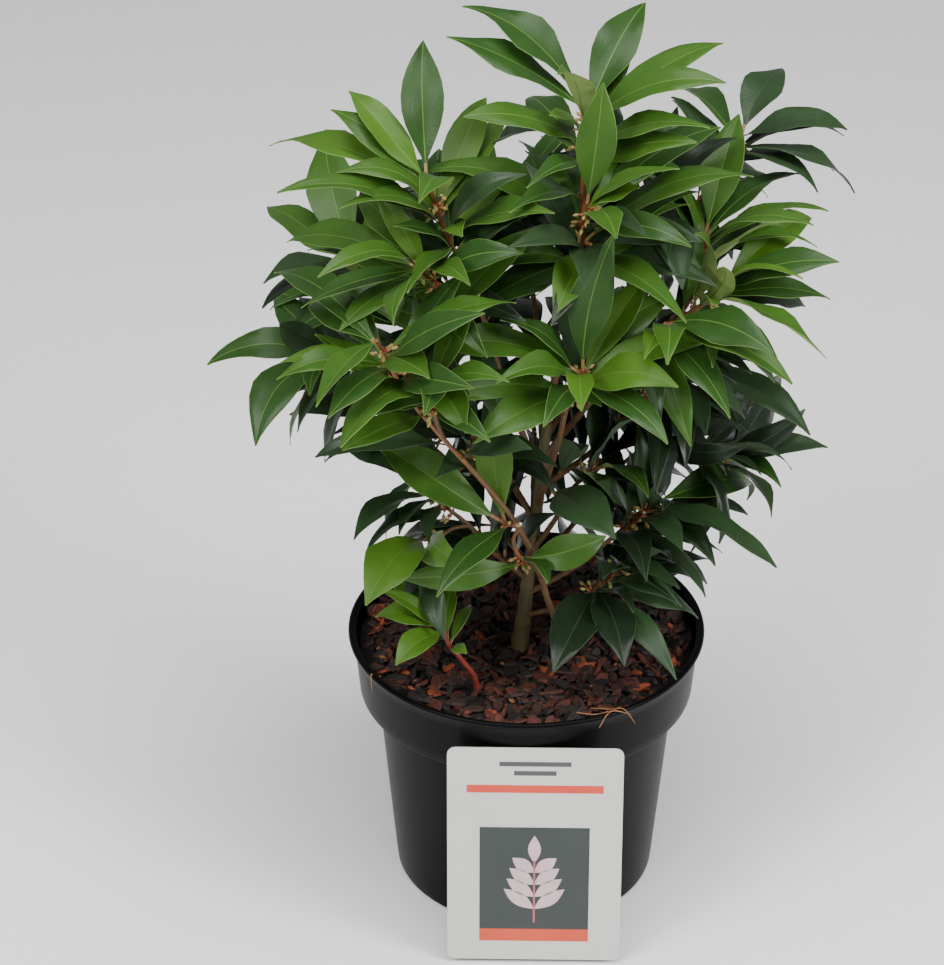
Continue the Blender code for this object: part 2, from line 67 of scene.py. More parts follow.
camera_data = bpy.data.cameras.new("camera")
camera_data.sensor_width = SENSOR
camera_data.lens = FOCAL_PIXELS * SENSOR / max(PHOTO_SIZE)
camera = bpy.data.objects.new("camera", camera_data)
camera.location = (0.0, -1.851, 1.395)
camera.rotation_euler = (math.radians(90 - 31.05), 0.0, math.radians(1.06))
bpy.context.scene.collection.objects.link(camera)
bpy.context.scene.camera = camera
print("lens:", round(camera_data.lens, 1), "mm")


# %% Colours and materials
def srgb(red, green, blue):
    """A colour as it is read off a picture, 0 to 255, as the linear values that a shader takes.

    Formula: each value c over 255 becomes ((c + 0.055) / 1.055) to the power 2.4."""
    return tuple(((c / 255 + 0.055) / 1.055) ** 2.4 for c in (red, green, blue))


def finish(name, colour, roughness, other=None, spots=60.0, share=0.5, grain=400.0, bump=0.0, specular=0.5):
    """A Principled material that drifts between two colours by noise on Object coordinates.

    spots is how many patches a metre holds, share how much of the other colour comes through, grain the
    fineness of the bump, and bump its depth in metres."""
    made = bpy.data.materials.new(name)
    made.use_nodes = True
    nodes, links = made.node_tree.nodes, made.node_tree.links
    shader = nodes["Principled BSDF"]
    shader.inputs["Roughness"].default_value = roughness
    shader.inputs["Specular IOR Level"].default_value = specular
    place = nodes.new("ShaderNodeTexCoord")
    drift = nodes.new("ShaderNodeTexNoise")
    drift.inputs["Scale"].default_value = spots
    drift.inputs["Detail"].default_value = 3.0
    links.new(place.outputs["Object"], drift.inputs["Vector"])
    ramp = nodes.new("ShaderNodeValToRGB")
    ramp.color_ramp.elements[0].position = 0.5 - 0.35 * share
    ramp.color_ramp.elements[1].position = 0.5 + 0.35 * share
    ramp.color_ramp.elements[0].color = (*colour, 1)
    ramp.color_ramp.elements[1].color = (*(other or tuple(c * 1.25 for c in colour)), 1)
    links.new(drift.outputs["Fac"], ramp.inputs["Fac"])
    links.new(ramp.outputs["Color"], shader.inputs["Base Color"])
    if bump:
        fine = nodes.new("ShaderNodeTexNoise")
        fine.inputs["Scale"].default_value = grain
        fine.inputs["Detail"].default_value = 4.0
        links.new(place.outputs["Object"], fine.inputs["Vector"])
        dent = nodes.new("ShaderNodeBump")
        dent.inputs["Strength"].default_value = 1.0
        dent.inputs["Distance"].default_value = bump
        links.new(fine.outputs["Fac"], dent.inputs["Height"])
        links.new(dent.outputs["Normal"], shader.inputs["Normal"])
    return made


# %% Meshes
def piece(name, points, faces, finishes, face_finish=None, smooth=True, sharp=None):
    """An object at the origin from points in millimetres, with one finish or several dealt to its faces."""
    mesh = bpy.data.meshes.new(name)
    mesh.from_pydata((np.asarray(points) * MM).tolist(), [], faces)
    for made in finishes if isinstance(finishes, (list, tuple)) else [finishes]:
        mesh.materials.append(made)
    if face_finish is not None:
        mesh.polygons.foreach_set("material_index", np.asarray(face_finish, np.int32))
    mesh.polygons.foreach_set("use_smooth", np.full(len(mesh.polygons), smooth))
    if sharp is not None:
        mesh.set_sharp_from_angle(angle=math.radians(sharp))
    mesh.update()
    placed = bpy.data.objects.new(name, mesh)
    bpy.context.scene.collection.objects.link(placed)
    return placed


def ring_faces(rings, around, first=0):
    """The quads of a closed sleeve: rings of points, one after the other, each joined to the next."""
    ring, side = np.meshgrid(np.arange(rings - 1), np.arange(around), indexing="ij")
    a, b = ring * around + side, ring * around + (side + 1) % around
    return (np.stack([a, b, b + around, a + around], axis=-1).reshape(-1, 4) + first).tolist()


def unit(vector):
    """The vector over its own length."""
    vector = np.asarray(vector, float)
    return vector / np.linalg.norm(vector, axis=-1, keepdims=True)


# %% Floor and lights
FLOOR_SIZE = 12000.0

floor = piece("floor", [(x * FLOOR_SIZE, y * FLOOR_SIZE, 0) for x, y in ((-1, -1), (1, -1), (1, 1), (-1, 1))],
              [(0, 1, 2, 3)], finish("floor", srgb(252, 252, 252), 0.9, other=srgb(254, 254, 254)), smooth=False)

world = bpy.data.worlds.new("studio")
bpy.context.scene.world = world
world.use_nodes = True
world.node_tree.nodes["Background"].inputs["Color"].default_value = (1.0, 1.0, 1.0, 1)
world.node_tree.nodes["Background"].inputs["Strength"].default_value = 0.3


def softbox(name, place, target, size, watts):
    """A square area light at a place, aimed at a target, in metres."""
    data = bpy.data.lights.new(name, "AREA")
    data.shape = "SQUARE"
    data.size = size
    data.energy = watts
    lamp = bpy.data.objects.new(name, data)
    away = Matrix.Identity(3).col[0].copy()
    away.xyz = [a - b for a, b in zip(place, target)]
    lamp.location = place
    lamp.rotation_euler = away.to_track_quat("Z", "Y").to_euler()
    bpy.context.scene.collection.objects.link(lamp)


softbox("light_left", (-1.5, -1.5, 1.9), (0, 0, 0.3), 0.9, 44)
softbox("light_right", (1.8, -1.1, 1.5), (0, 0, 0.3), 0.8, 44)
softbox("light_top", (0.1, -0.5, 2.3), (0, 0, 0.3), 1.4, 46)

# %% [markdown]
# ## The pot
# A nursery pot is moulded in one piece from black polypropylene: a tapered body, a step, a taller collar
# that stiffens the rim, a rolled lip and drain holes in the base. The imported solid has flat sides, so a
# smooth one replaces it. It could be a Screw modifier. A profile carried round the axis as one array is
# shorter, and it lets the wall carry the faint unevenness of thin moulded plastic.

# %% Pot sizes from the frame
pot_low, pot_high = (np.array(corner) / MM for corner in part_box("pot"))
RIM_RADIUS = float(pot_high[0])
POT_HEIGHT = float(pot_high[2])
COLLAR_HEIGHT = 43.0
BASE_RADIUS = 83.0
BODY_TOP_RADIUS = 94.0
COLLAR_FOOT_RADIUS = 105.6
COLLAR_TOP_RADIUS = 109.4
LIP_ROUND = 1.9
LIP_DROP = 6.0
WALL = 2.0
FLOOR_THICKNESS = 3.0
DRAIN_HOLES = 6
DRAIN_RADIUS = 5.0
DRAIN_CIRCLE = 58.0
STEP = POT_HEIGHT - COLLAR_HEIGHT
print("pot:", round(RIM_RADIUS * 2, 1), "mm across,", round(POT_HEIGHT, 1), "mm high")


def arc(middle, radius, start, end, steps):
    """Points on a part of a circle: middle + radius * (cos a, sin a), for even angles a in degrees."""
    angles = np.radians(np.linspace(start, end, steps + 1))
    return [(middle[0] + radius * math.cos(a), middle[1] + radius * math.sin(a)) for a in angles]


def slope(low_radius, high_radius, low, high, steps):
    """Points on a straight wall between two heights."""
    return [(low_radius + (high_radius - low_radius) * t, low + (high - low) * t)
            for t in np.linspace(0, 1, steps + 1)]


def turned_piece(name, profile, around, finishes, shape=None, sharp=40):
    """A profile of (radius, height) carried round the axis, its two ends closed on the axis.

    Formula: point (i, k) = (r_i cos t_k, r_i sin t_k, z_i), with t_k = 2 pi k over the number of steps, and
    shape(r, t, z) moves it a little where the wall isn't quite true."""
    radius, height = np.array(profile[1:-1]).T
    turn = np.arange(around) * math.tau / around
    r, t = np.meshgrid(radius, turn, indexing="ij")
    z = np.repeat(height[:, None], around, axis=1)
    if shape:
        r, z = shape(r, t, z)
    points = np.stack([r * np.cos(t), r * np.sin(t), z], axis=-1).reshape(-1, 3).tolist()
    faces = ring_faces(len(radius), around)
    first, last = len(points), len(points) + 1
    points += [(0, 0, profile[0][1]), (0, 0, profile[-1][1])]
    end = (len(radius) - 1) * around
    faces += [[first, (k + 1) % around, k] for k in range(around)]
    faces += [[last, end + k, end + (k + 1) % around] for k in range(around)]
    return piece(name, points, faces, finishes, sharp=sharp)


# %% Pot surface
def pot_shape(r, t, z):
    """The moulding's unevenness: the free wall is out of round by a few tenths, less at the stiff base."""
    free = np.clip(z / POT_HEIGHT, 0, 1)
    return r + free * (0.22 * np.sin(2 * t + 0.6) + 0.12 * np.sin(3 * t + 2.0)), z


def collar_radius(height):
    """The collar's outer radius, even from its foot to its top."""
    return COLLAR_FOOT_RADIUS + (COLLAR_TOP_RADIUS - COLLAR_FOOT_RADIUS) * (height - STEP) / COLLAR_HEIGHT


pot_profile = [(0, FLOOR_THICKNESS), (40, FLOOR_THICKNESS), (BASE_RADIUS - WALL - 0.8, FLOOR_THICKNESS)]
pot_profile += slope(BASE_RADIUS - WALL + 0.2, BODY_TOP_RADIUS - WALL, FLOOR_THICKNESS + 2, STEP - 1, 6)
pot_profile += [(COLLAR_FOOT_RADIUS - WALL - 1, STEP + WALL + 1)]
pot_profile += slope(COLLAR_FOOT_RADIUS - WALL, COLLAR_TOP_RADIUS - WALL, STEP + WALL + 3, POT_HEIGHT - 2, 5)
pot_profile += arc((RIM_RADIUS - LIP_ROUND, POT_HEIGHT - LIP_ROUND), LIP_ROUND, 125, -75, 12)
pot_profile += [(collar_radius(POT_HEIGHT) + 0.5, POT_HEIGHT - 4.6)]
pot_profile += slope(collar_radius(POT_HEIGHT - LIP_DROP), collar_radius(STEP + 2), POT_HEIGHT - LIP_DROP, STEP + 2, 6)
pot_profile += arc((COLLAR_FOOT_RADIUS - 1.5, STEP + 1.5), 1.5, 0, -80, 5)
pot_profile += [(BODY_TOP_RADIUS + 5, STEP - 0.4)] + arc((BODY_TOP_RADIUS + 3.2, STEP - 3.8), 3, 100, 175, 4)
pot_profile += slope(BODY_TOP_RADIUS - 0.2, BASE_RADIUS + 0.5, STEP - 8, 8, 10)
pot_profile += arc((BASE_RADIUS - 3, 3), 3, 0, -90, 5) + [(72, 0), (40, 0), (0, 0)]

black_plastic = finish("black_plastic", srgb(4, 4, 5), 0.36, other=srgb(7, 7, 7), spots=18, share=0.9,
                       grain=260, bump=0.00006, specular=0.08)
pot = turned_piece("pot_shell", pot_profile[::-1], 160, black_plastic, shape=pot_shape)
bpy.context.view_layer.objects.active = pot


def drill(target, cutters):
    """Cuts closed shapes out of a piece, keeps the result as its mesh and removes the cutters."""
    for i, cutter in enumerate(cutters):
        cut = target.modifiers.new(f"cut_{i}", "BOOLEAN")
        cut.operation = "DIFFERENCE"
        cut.object = cutter
    bpy.context.view_layer.update()
    graph = bpy.context.evaluated_depsgraph_get()
    drilled = bpy.data.meshes.new_from_object(target.evaluated_get(graph))
    target.modifiers.clear()
    target.data = drilled
    for cutter in cutters:
        bpy.data.objects.remove(cutter)


def rod(name, middle, radius, low, high, around=24):
    """A short closed cylinder, for a round hole."""
    turn = np.arange(around) * math.tau / around
    ring = np.stack([middle[0] + radius * np.cos(turn), middle[1] + radius * np.sin(turn)], axis=-1)
    points = [(x, y, z) for z in (low, high) for x, y in ring]
    faces = ring_faces(2, around) + [list(range(around))[::-1], list(range(around, 2 * around))]
    return piece(name, points, faces, black_plastic)


turns = [math.tau * i / DRAIN_HOLES for i in range(DRAIN_HOLES)]
drill(pot, [rod(f"hole_{i}", (DRAIN_CIRCLE * math.cos(a), DRAIN_CIRCLE * math.sin(a)), DRAIN_RADIUS, -5, 8)
            for i, a in enumerate(turns)])
pot.data.set_sharp_from_angle(angle=math.radians(40))
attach(pot, "root")
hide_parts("pot")
print("pot faces:", len(pot.data.polygons))

# %% [markdown]
# ## Soil and bark chips
# The soil is topped with shredded bark: flat chips of 4 to 16 mm, dark and damp, most red-brown and a few
# tan. A bump map would look flat from the side, so the bed is a surface with real relief and each chip is a
# small closed solid. Chips are scattered by a seeded draw and joined into one mesh for each shade.

# %% Soil bed
SOIL_TOP = float(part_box("soil")[1][2]) / MM
SOIL_FOOT = float(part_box("soil")[0][2]) / MM
BED_RADIUS = COLLAR_TOP_RADIUS - WALL - 1.6


def bed_height(x, y):
    """The bed's height over its mean: a few crossed waves, in millimetres."""
    return (0.9 * np.sin(x / 9.1 + 1.3 * np.sin(y / 14.0)) + 0.8 * np.sin(y / 7.7 + 1.1 * np.sin(x / 11.0))
            + 0.5 * np.sin(x / 3.3 + y / 4.1) + 0.4 * np.sin(y / 2.9 - x / 5.0))


def bed_shape(r, t, z):
    """The top takes the relief, and the sides stay true."""
    top = z > SOIL_TOP - 1
    return r, np.where(top, z - 1.2 + bed_height(r * np.cos(t), r * np.sin(t)), z)


bed_profile = [(0, SOIL_FOOT), (BASE_RADIUS - WALL - 2, SOIL_FOOT), (BODY_TOP_RADIUS - WALL - 1.2, STEP - 2),
               (COLLAR_FOOT_RADIUS - WALL - 1.2, STEP + 6), (BED_RADIUS, SOIL_TOP - 3)]
bed_profile += [(radius, SOIL_TOP) for radius in np.linspace(BED_RADIUS - 1, 2, 46)] + [(0, SOIL_TOP)]
soil_finish = finish("soil", srgb(10, 5, 4), 0.95, other=srgb(24, 12, 8), spots=220, share=0.6,
                     grain=900, bump=0.0006)
soil = turned_piece("soil_bed", bed_profile, 120, soil_finish, shape=bed_shape, sharp=60)
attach(soil, "root")
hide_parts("soil")

# %% Bark chips
CHIP_SIDES = 6
CHIP_SHADES = {
    "chips_dark": (srgb(24, 11, 7), srgb(11, 6, 4), 560, 17.0),
    "chips_red": (srgb(90, 36, 17), srgb(42, 17, 9), 500, 19.0),
    "chips_brown": (srgb(58, 28, 16), srgb(26, 12, 8), 560, 18.0),
    "chips_orange": (srgb(150, 66, 26), srgb(96, 38, 16), 70, 16.0),
    "chips_tan": (srgb(158, 108, 66), srgb(112, 66, 36), 34, 14.0),
}


def scatter_chips(count, seed, longest):
    """Points and faces of many bark chips.

    Each is a prism on an uneven six-cornered ring: corner k = (a cos t_k, b sin t_k) times a draw between
    0.75 and 1.15, its upper ring a little smaller, turned by a random heading and tipped by up to 40 degrees."""
    chance = np.random.RandomState(seed)
    turn = np.arange(CHIP_SIDES) * math.tau / CHIP_SIDES
    long_half = chance.uniform(0.25, 1.0, (count, 1)) ** 1.3 * longest / 2
    short_half = long_half * chance.uniform(0.3, 0.75, (count, 1))
    thick = chance.uniform(0.7, 2.0, (count, 1))
    uneven = chance.uniform(0.75, 1.15, (count, CHIP_SIDES))
    low = np.stack([long_half * np.cos(turn) * uneven, short_half * np.sin(turn) * uneven,
                    -thick / 2 + chance.uniform(-0.2, 0.2, (count, CHIP_SIDES))], axis=-1)
    high = low * (0.85, 0.85, 0) + np.stack([np.zeros_like(uneven), np.zeros_like(uneven),
                                            thick / 2 + chance.uniform(-0.2, 0.3, (count, CHIP_SIDES))], axis=-1)
    chip = np.concatenate([low, high], axis=1)
    yaw, tip, roll = chance.uniform(0, math.tau, count), *chance.normal(0, 0.32, (2, count))
    turned = []
    for angle, (i, j) in ((roll, (1, 2)), (tip, (0, 2)), (yaw, (0, 1))):
        c, s = np.cos(angle)[:, None], np.sin(angle)[:, None]
        first, second = chip[..., i].copy(), chip[..., j].copy()
        chip[..., i], chip[..., j] = c * first - s * second, s * first + c * second
    radius = np.sqrt(chance.uniform(0.002, 1, count)) * (BED_RADIUS - 4.5)
    bearing = chance.uniform(0, math.tau, count)
    x, y = radius * np.cos(bearing), radius * np.sin(bearing)
    z = SOIL_TOP - 0.4 + bed_height(x, y) + chance.uniform(0, 2.6, count)
    chip += np.stack([x, y, z], axis=-1)[:, None, :]
    out = np.hypot(chip[..., 0], chip[..., 1])
    inside = np.minimum(1, (BED_RADIUS - 0.6) / np.maximum(out, 1e-6))
    chip[..., :2] *= inside[..., None]
    faces = []
    for i in range(count):
        first = i * 2 * CHIP_SIDES
        faces += ring_faces(2, CHIP_SIDES, first)
        faces.append(list(range(first, first + CHIP_SIDES))[::-1])
        faces.append(list(range(first + CHIP_SIDES, first + 2 * CHIP_SIDES)))
    return chip.reshape(-1, 3), faces


for seed, (name, (colour, other, count, longest)) in enumerate(CHIP_SHADES.items()):
    shade = finish(name, colour, 0.7, other=other, spots=320, share=0.7, grain=1500, bump=0.0004)
    chips = piece(name, *scatter_chips(count, 11 + seed, longest), shade, smooth=False)
    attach(chips, "root")
    print(name, count, "chips")

# %% [markdown]
# ## How the shrub grows
# The trunk rises from the soil and the boughs leave it, each with shoots of its own. Leaves sit close
# together near each shoot's tip and further apart below it, each turned by the golden angle from the last.
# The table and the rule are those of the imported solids, so the crown keeps their reach. The leaves that
# make the outline come first, by their own heading and rise, and the rule fills in the others where no
# neighbour is met.

# %% Table of boughs and shoots
GAP = 0.3
LEAF_WIDTH_SHARE = 0.26
LEAF_THICKNESS = 1.2
ROOT_HALF_WIDTH = 1.1
STATIONS = (0.0, 0.28, 0.66)
WIDTH_AT_STATION = (0.0, 0.92, 0.88)
ARCH_SHARE = 0.1
CLEARANCE = 0.7
STEEPEST = 84
LOWEST_TIP = 4
LIGHT = (0, -0.3, 0.6)
STEM_SWAY = 0.5
GOLDEN_ANGLE = 137.5
LEAF_SPACING = 3.2
FIRST_LEAF_BELOW_TIP = 1.5
LOWEST_LEAF_SHARE = 0.15
OPENING_AT_TIP = 46
OPENING_GAINED = 34
OPENING_SPREAD = 8
SHOOT_TURN = 47
TURN_SPREAD = 10
LENGTH_SHARE = 0.92
LENGTH_SPREAD = 0.1
TWIST = 0.3
STEM_SIDES = 4
TWIG_RADIUS = 1.3
TIP_RADIUS = 1.1
FAR_TWIG = 25

TRUNK_PATH = ((-4, -14, SOIL_TOP + GAP), (1, -9, 215), (7, -5, 273), (12, -2, 325))
TRUNK_RADII = (5.6, 3.9, 3.4, 2.8)

Shoot = namedtuple("Shoot", "tip leaves length aims")
Bough = namedtuple("Bough", "name foot tip radius tint shoots")

# A bough's foot is a height on the trunk, or its own point on the soil. The first shoot is the mass's own
# stem, and the others are its twigs. Each has its tip, how many leaves it carries and how long they are.
# The leaves that make its outline come first, from the tip down: the way they head round from +X and rise
# above level, in degrees, their length, and the shares of it that are the width and the arch, where those
# aren't the usual ones. None is a bare place.
BOUGHS = (
    Bough("leader", 325, (24, -6, 395), 2.6, "fresh", (
        Shoot((32, 0, 538), 12, 88, ((158, 32, 92, 0.3), (176, 28, 92, 0.27, 0.05),
                                     (59, 34, 82, 0.33, 0.05), (19, 24, 92, 0.27, 0.06),
                                     (350, 23, 88, 0.26, 0.13), (148, -29, 85, 0.34, 0.12), None,
                                     (222, 42, 38, 0.5, 0.12))),
        Shoot((33, -34, 491), 7, 84, ((50, 80, 73, 0.33, 0.04), (336, 36, 38, 0.5), (55, 18, 84, 0.28),
                                      (38, 15, 105, 0.2, 0.13), None, (45, 14, 92))),
        Shoot((31, -14, 458), 9, 84, ((172, 19, 106, 0.22, 0.17), (7, 21, 108, 0.22, 0.12),
                                      (103, 18, 78, 0.38), (254, -12, 60, 0.42, 0.15),
                                      (316, -8, 86, 0.3, 0.15), (200, -18, 70, 0.36, 0.12),
                                      (190, 0, 52, 0.3, 0.2), (12, 28, 76, 0.16, 0.16),
                                      (5, 20, 62, 0.18, 0.14))))),
    Bough("front", 268, (22, -42, 355), 2.1, "fresh", (
        Shoot((32, -60, 395), 14, 82, ((30, 77, 87, 0.29, 0.04), (180, 10, 93, 0.26, 0.13),
                                       (219, 16, 66, 0.3), (42, 11, 80, 0.28, 0.13), (5, 13, 81),
                                       (328, 12, 72, 0.36), (226, -1, 84, 0.33), (200, 6, 86, 0.25),
                                       (195, 0, 44, 0.45), None, None, None, None,
                                       (305, 25, 38, 0.55, 0.12))),)),
    Bough("left_front", (24, -26, SOIL_TOP + GAP), (9, -38, 236), 2.3, "fresh", (
        Shoot((-88, -85, 427), 11, 84, ((247, -1, 80), (126, -3, 72, 0.3), (133, 7, 98),
                                        (12, 18, 82, 0.24, 0.14), (303, 11, 50, 0.45))),
        Shoot((-58, -80, 398), 9, 78, ((237, -1, 88, 0.33), (298, -9, 48, 0.45), None, None, None,
                                       (232, 15, 66), (200, 6, 36, 0.45))),
        Shoot((-16, -55, 287), 3, 82, ((160, 25, 90, 0.33), (112, 78, 78, 0.29, 0.03),
                                       (233, -13, 72, 0.3))),
        Shoot((0, -45, 250), 3, 75, ((188, -4, 78), (5, 16, 53, 0.44), (300, -1, 34, 0.5))))),
    Bough("left_upper", 285, (-22, -12, 385), 2.2, "fresh", (
        Shoot((-61, -18, 501), 18, 84, ((93, 52, 80, 0.34, 0.04), (145, 36, 70, 0.32, 0.05), None, None,
                                        (156, 5, 107, 0.2, 0.13), None, None, None, None,
                                        (63, 21, 90, 0.24), (198, 28, 75, 0.25, 0.16),
                                        (198, 20, 106, 0.22, 0.13), (288, 20, 36, 0.4),
                                        (30, 35, 60, 0.36, 0.05))),
        Shoot((-67, -42, 454), 10, 78, ((226, 15, 80, 0.23, 0.16), (126, 16, 66, 0.35), (150, -4, 95))),
        Shoot((-56, -34, 402), 7, 84, ((8, 46, 98, 0.22, 0.1),)))),
    Bough("right", 300, (52, -10, 372), 2.2, "fresh", (
        Shoot((114, -10, 423), 13, 82, ((48, 10, 88), (343, 24, 80, 0.3), (310, 0, 98, 0.2),
                                        (30, -18, 74, 0.3), (330, 28, 72, 0.2, 0.16), (304, 37, 45, 0.4),
                                        (102, 33, 88, 0.36))),
        Shoot((105, 20, 445), 7, 80, ((70, 36, 80, 0.33, 0.04), (41, 14, 80, 0.3),
                                      (333, 23, 76, 0.2, 0.16))),
        Shoot((80, -42, 416), 9, 82, ((316, 9, 84, 0.3), (321, -3, 94))))),
    Bough("back_right", 315, (62, 32, 395), 2.1, "old", (
        Shoot((128, 70, 488), 11, 78, ((64, 16, 64, 0.4), (358, 6, 65, 0.37, 0.12),
                                       (117, -3, 94, 0.33, 0.13), (346, -16, 78, 0.3, 0.14),
                                       (330, -12, 60, 0.28), (130, -12, 80, 0.33, 0.12))),
        Shoot((69, 30, 464), 10, 78, ((80, 12, 78), (20, 30, 66), (284, -12, 80, 0.33), (278, -2, 70))))),
    Bough("right_middle", 278, (52, 12, 312), 2.0, "old", (
        Shoot((86, 30, 346), 11, 80, ((325, -6, 104), (294, -12, 60, 0.33), (266, -29, 82, 0.18),
                                      (283, -23, 70), (310, -16, 66))),
        Shoot((125, 30, 278), 10, 76, ((62, 16, 84, 0.3), (0, 10, 67, 0.3), (310, -18, 54, 0.33),
                                       (320, 2, 54, 0.3))))),
    Bough("right_low", 205, (45, -10, 240), 1.9, "old", (
        Shoot((79, -10, 275), 10, 76, ((36, -5, 78, 0.32, 0.12), (319, -2, 98), (311, -11, 62),
                                       (95, 60, 70, 0.2))),)),
    Bough("right_foot", 190, (34, -24, 212), 1.8, "old", (
        Shoot((59, -20, 236), 5, 74, ((15, -6, 60, 0.3), (309, 14, 60))),
        Shoot((44, -30, 224), 3, 78, ((250, -9, 80, 0.4), (283, -10, 76, 0.36), (306, -7, 88, 0.2))))),
    Bough("middle", 235, (22, -20, 278), 1.9, "old", (
        Shoot((15, -34, 296), 1, 76, ((297, 8, 82, 0.4),)),
        Shoot((43, 4, 294), 5, 76, ((42, -2, 86), (301, 10, 64))))),
    Bough("back_left", 256, (-50, 30, 345), 2.1, "mid", (
        Shoot((-109, 60, 404), 11, 80, ((133, 4, 84, 0.36, 0.01), (108, 41, 92, 0.36, 0.05),
                                        (210, 6, 66, 0.35, 0.12), (207, -7, 68, 0.33, 0.12))),
        Shoot((-119, 28, 351), 9, 78, ((186, 0, 80, 0.27, 0.17), (233, -16, 86, 0.4, 0.18),
                                       (165, -30, 64, 0.38))))),
    Bough("left_low", 215, (-30, -6, 246), 1.9, "old", (
        Shoot((-60, 0, 275), 7, 72, ((143, 3, 76, 0.3, 0.15), (230, 2, 74, 0.3), (243, 2, 50),
                                     (262, 1, 48))),
        Shoot((-63, -30, 257), 3, 70, ((245, -1, 80, 0.44, 0.14), (309, 6, 62, 0.4))),
        Shoot((-27, -15, 322), 8, 76, ((165, -10, 80), (150, 20, 80))))),
    Bough("back", 300, (4, 46, 375), 2.1, "mid", (
        Shoot((-22, 72, 440), 11, 82, ((100, -2, 82), (150, 0, 84), (200, 20, 66), (279, 5, 76))),
        Shoot((42, 92, 426), 10, 82, ((60, 2, 86), (100, -5, 86), (240, 0, 78))))),
    Bough("back_low", 240, (4, 46, 290), 2.0, "old", (
        Shoot((-38, 84, 338), 10, 78, ((130, 0, 86), (90, -10, 86), (308, 15, 80), (295, 35, 72))),
        Shoot((44, 88, 326), 10, 78, ((70, 0, 86), (20, 5, 84), (234, 15, 80))))),
    Bough("back_left_low", 225, (-36, 36, 255), 1.9, "old", (
        Shoot((-78, 68, 290), 10, 76, ((150, -5, 84), (185, 5, 76), (110, -10, 80))),)),
    Bough("back_right_low", 220, (42, 38, 250), 1.9, "old", (
        Shoot((88, 74, 284), 10, 76, ((20, -5, 84), (60, -10, 84), (350, 10, 76))),)),
)

# The young red shoot that comes up by itself near the front of the pot
SUCKER_FOOT = (-29, -62, SOIL_TOP + GAP)
SUCKER_RADIUS = 2.0
SUCKER = Shoot((-51, -65, 217), 6, 46, ((178, 10, 42, 0.5), (229, -3, 44, 0.48), (125, 22, 62, 0.36),
                                        (83, 23, 42), (69, 13, 36), (300, 20, 20, 0.45)))


# %% Paths and limbs
def curve(start, start_way, end, end_way, count):
    """A Hermite curve: it leaves start along start_way and reaches end along end_way.

    Formula: h00 * start + h10 * reach * way0 + h01 * end + h11 * reach * way1, with the cubic Hermite
    weights h of t from 0 to 1, and reach the distance between the ends."""
    start, end = np.asarray(start, float), np.asarray(end, float)
    reach = np.linalg.norm(end - start)
    t = np.linspace(0, 1, count)[:, None]
    return ((2 * t**3 - 3 * t**2 + 1) * start + (t**3 - 2 * t**2 + t) * reach * unit(start_way)
            + (3 * t**2 - 2 * t**3) * end + (t**3 - t**2) * reach * unit(end_way))


def ways(path):
    """The direction of the path at each of its points."""
    return unit(np.gradient(np.asarray(path, float), axis=0))


def tube(path, radii, sides=STEM_SIDES):
    """(points, faces) of a closed tapering limb, with a ring of points round each point of the path."""
    path = np.asarray(path, float)
    across = unit(np.cross(ways(path)[0], (0.3, 1.0, 0.1)))
    points = []
    for middle, way, radius in zip(path, ways(path), radii):
        across = unit(across - way * (across @ way))
        other = np.cross(way, across)
        for angle in np.arange(sides) * math.tau / sides:
            points.append(middle + radius * (across * math.cos(angle) + other * math.sin(angle)))
    if path[0, 2] < SOIL_TOP + 1:
        for point in points[:sides]:
            point[2] = path[0, 2]
    faces = ring_faces(len(path), sides)
    faces += [list(range(sides))[::-1], list(range(len(points) - sides, len(points)))]
    return np.array(points), faces


# %% The space that a leaf takes
def plain_leaf(root, way, up, length, wide, arch, first=0, grow=0.0):
    """(points, faces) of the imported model's plain leaf, which tests whether a place is free.

    Its midrib is root + way * L s + up * arch * L * 4 s (1 - s) at the stations s, with a three-cornered
    section at each, and it ends in a point."""
    up = unit(up - way * (up @ way))
    across = np.cross(way, up)
    points = []
    for station, share in list(zip(STATIONS, WIDTH_AT_STATION))[first:]:
        middle = root + way * length * station + up * arch * length * 4 * station * (1 - station)
        half = max(share * wide * length / 2, ROOT_HALF_WIDTH) + grow
        points += [middle - across * half + up * grow, middle + across * half + up * grow]
        points.append(middle - up * (LEAF_THICKNESS + grow))
    points.append(root + way * (length + grow))
    rings = len(points) // 3
    faces = [[0, 1, 2]]
    for ring in range(rings - 1):
        for a, b in ((0, 1), (1, 2), (2, 0)):
            i, j = ring * 3 + a, ring * 3 + b
            faces += [[i, i + 3, j], [j, i + 3, j + 3]]
    last, tip = (rings - 1) * 3, len(points) - 1
    faces += [[last + a, tip, last + b] for a, b in ((0, 1), (1, 2), (2, 0))]
    return np.array(points), faces


class Space:
    """What is already taken. A new leaf keeps clear of every other node and of its own mass's leaves."""

    def __init__(self):
        self.taken = []

    def add(self, node, points, faces):
        tree = BVHTree.FromPolygons(points.tolist(), faces)
        self.taken.append((node, points.min(axis=0), points.max(axis=0), tree))

    def meets(self, points, faces, wanted):
        low, high = points.min(axis=0), points.max(axis=0)
        tree = None
        for node, other_low, other_high, other in self.taken:
            if wanted(node) and (low <= other_high).all() and (high >= other_low).all():
                tree = tree or BVHTree.FromPolygons(points.tolist(), faces)
                if tree.overlap(other):
                    return True
        return False

    def free(self, node, root, way, up, length, wide, arch):
        if root[2] + way[2] * length < SOIL_TOP + LOWEST_TIP:
            return False
        whole = plain_leaf(root, way, up, length, wide, arch, grow=CLEARANCE)
        blade = plain_leaf(root, way, up, length, wide, arch, first=1, grow=CLEARANCE)
        return not (self.meets(*whole, lambda other: other != node)
                    or self.meets(*blade, lambda other: other == node))


# %% The rule
Leaf = namedtuple("Leaf", "node number order root way up length wide arch")

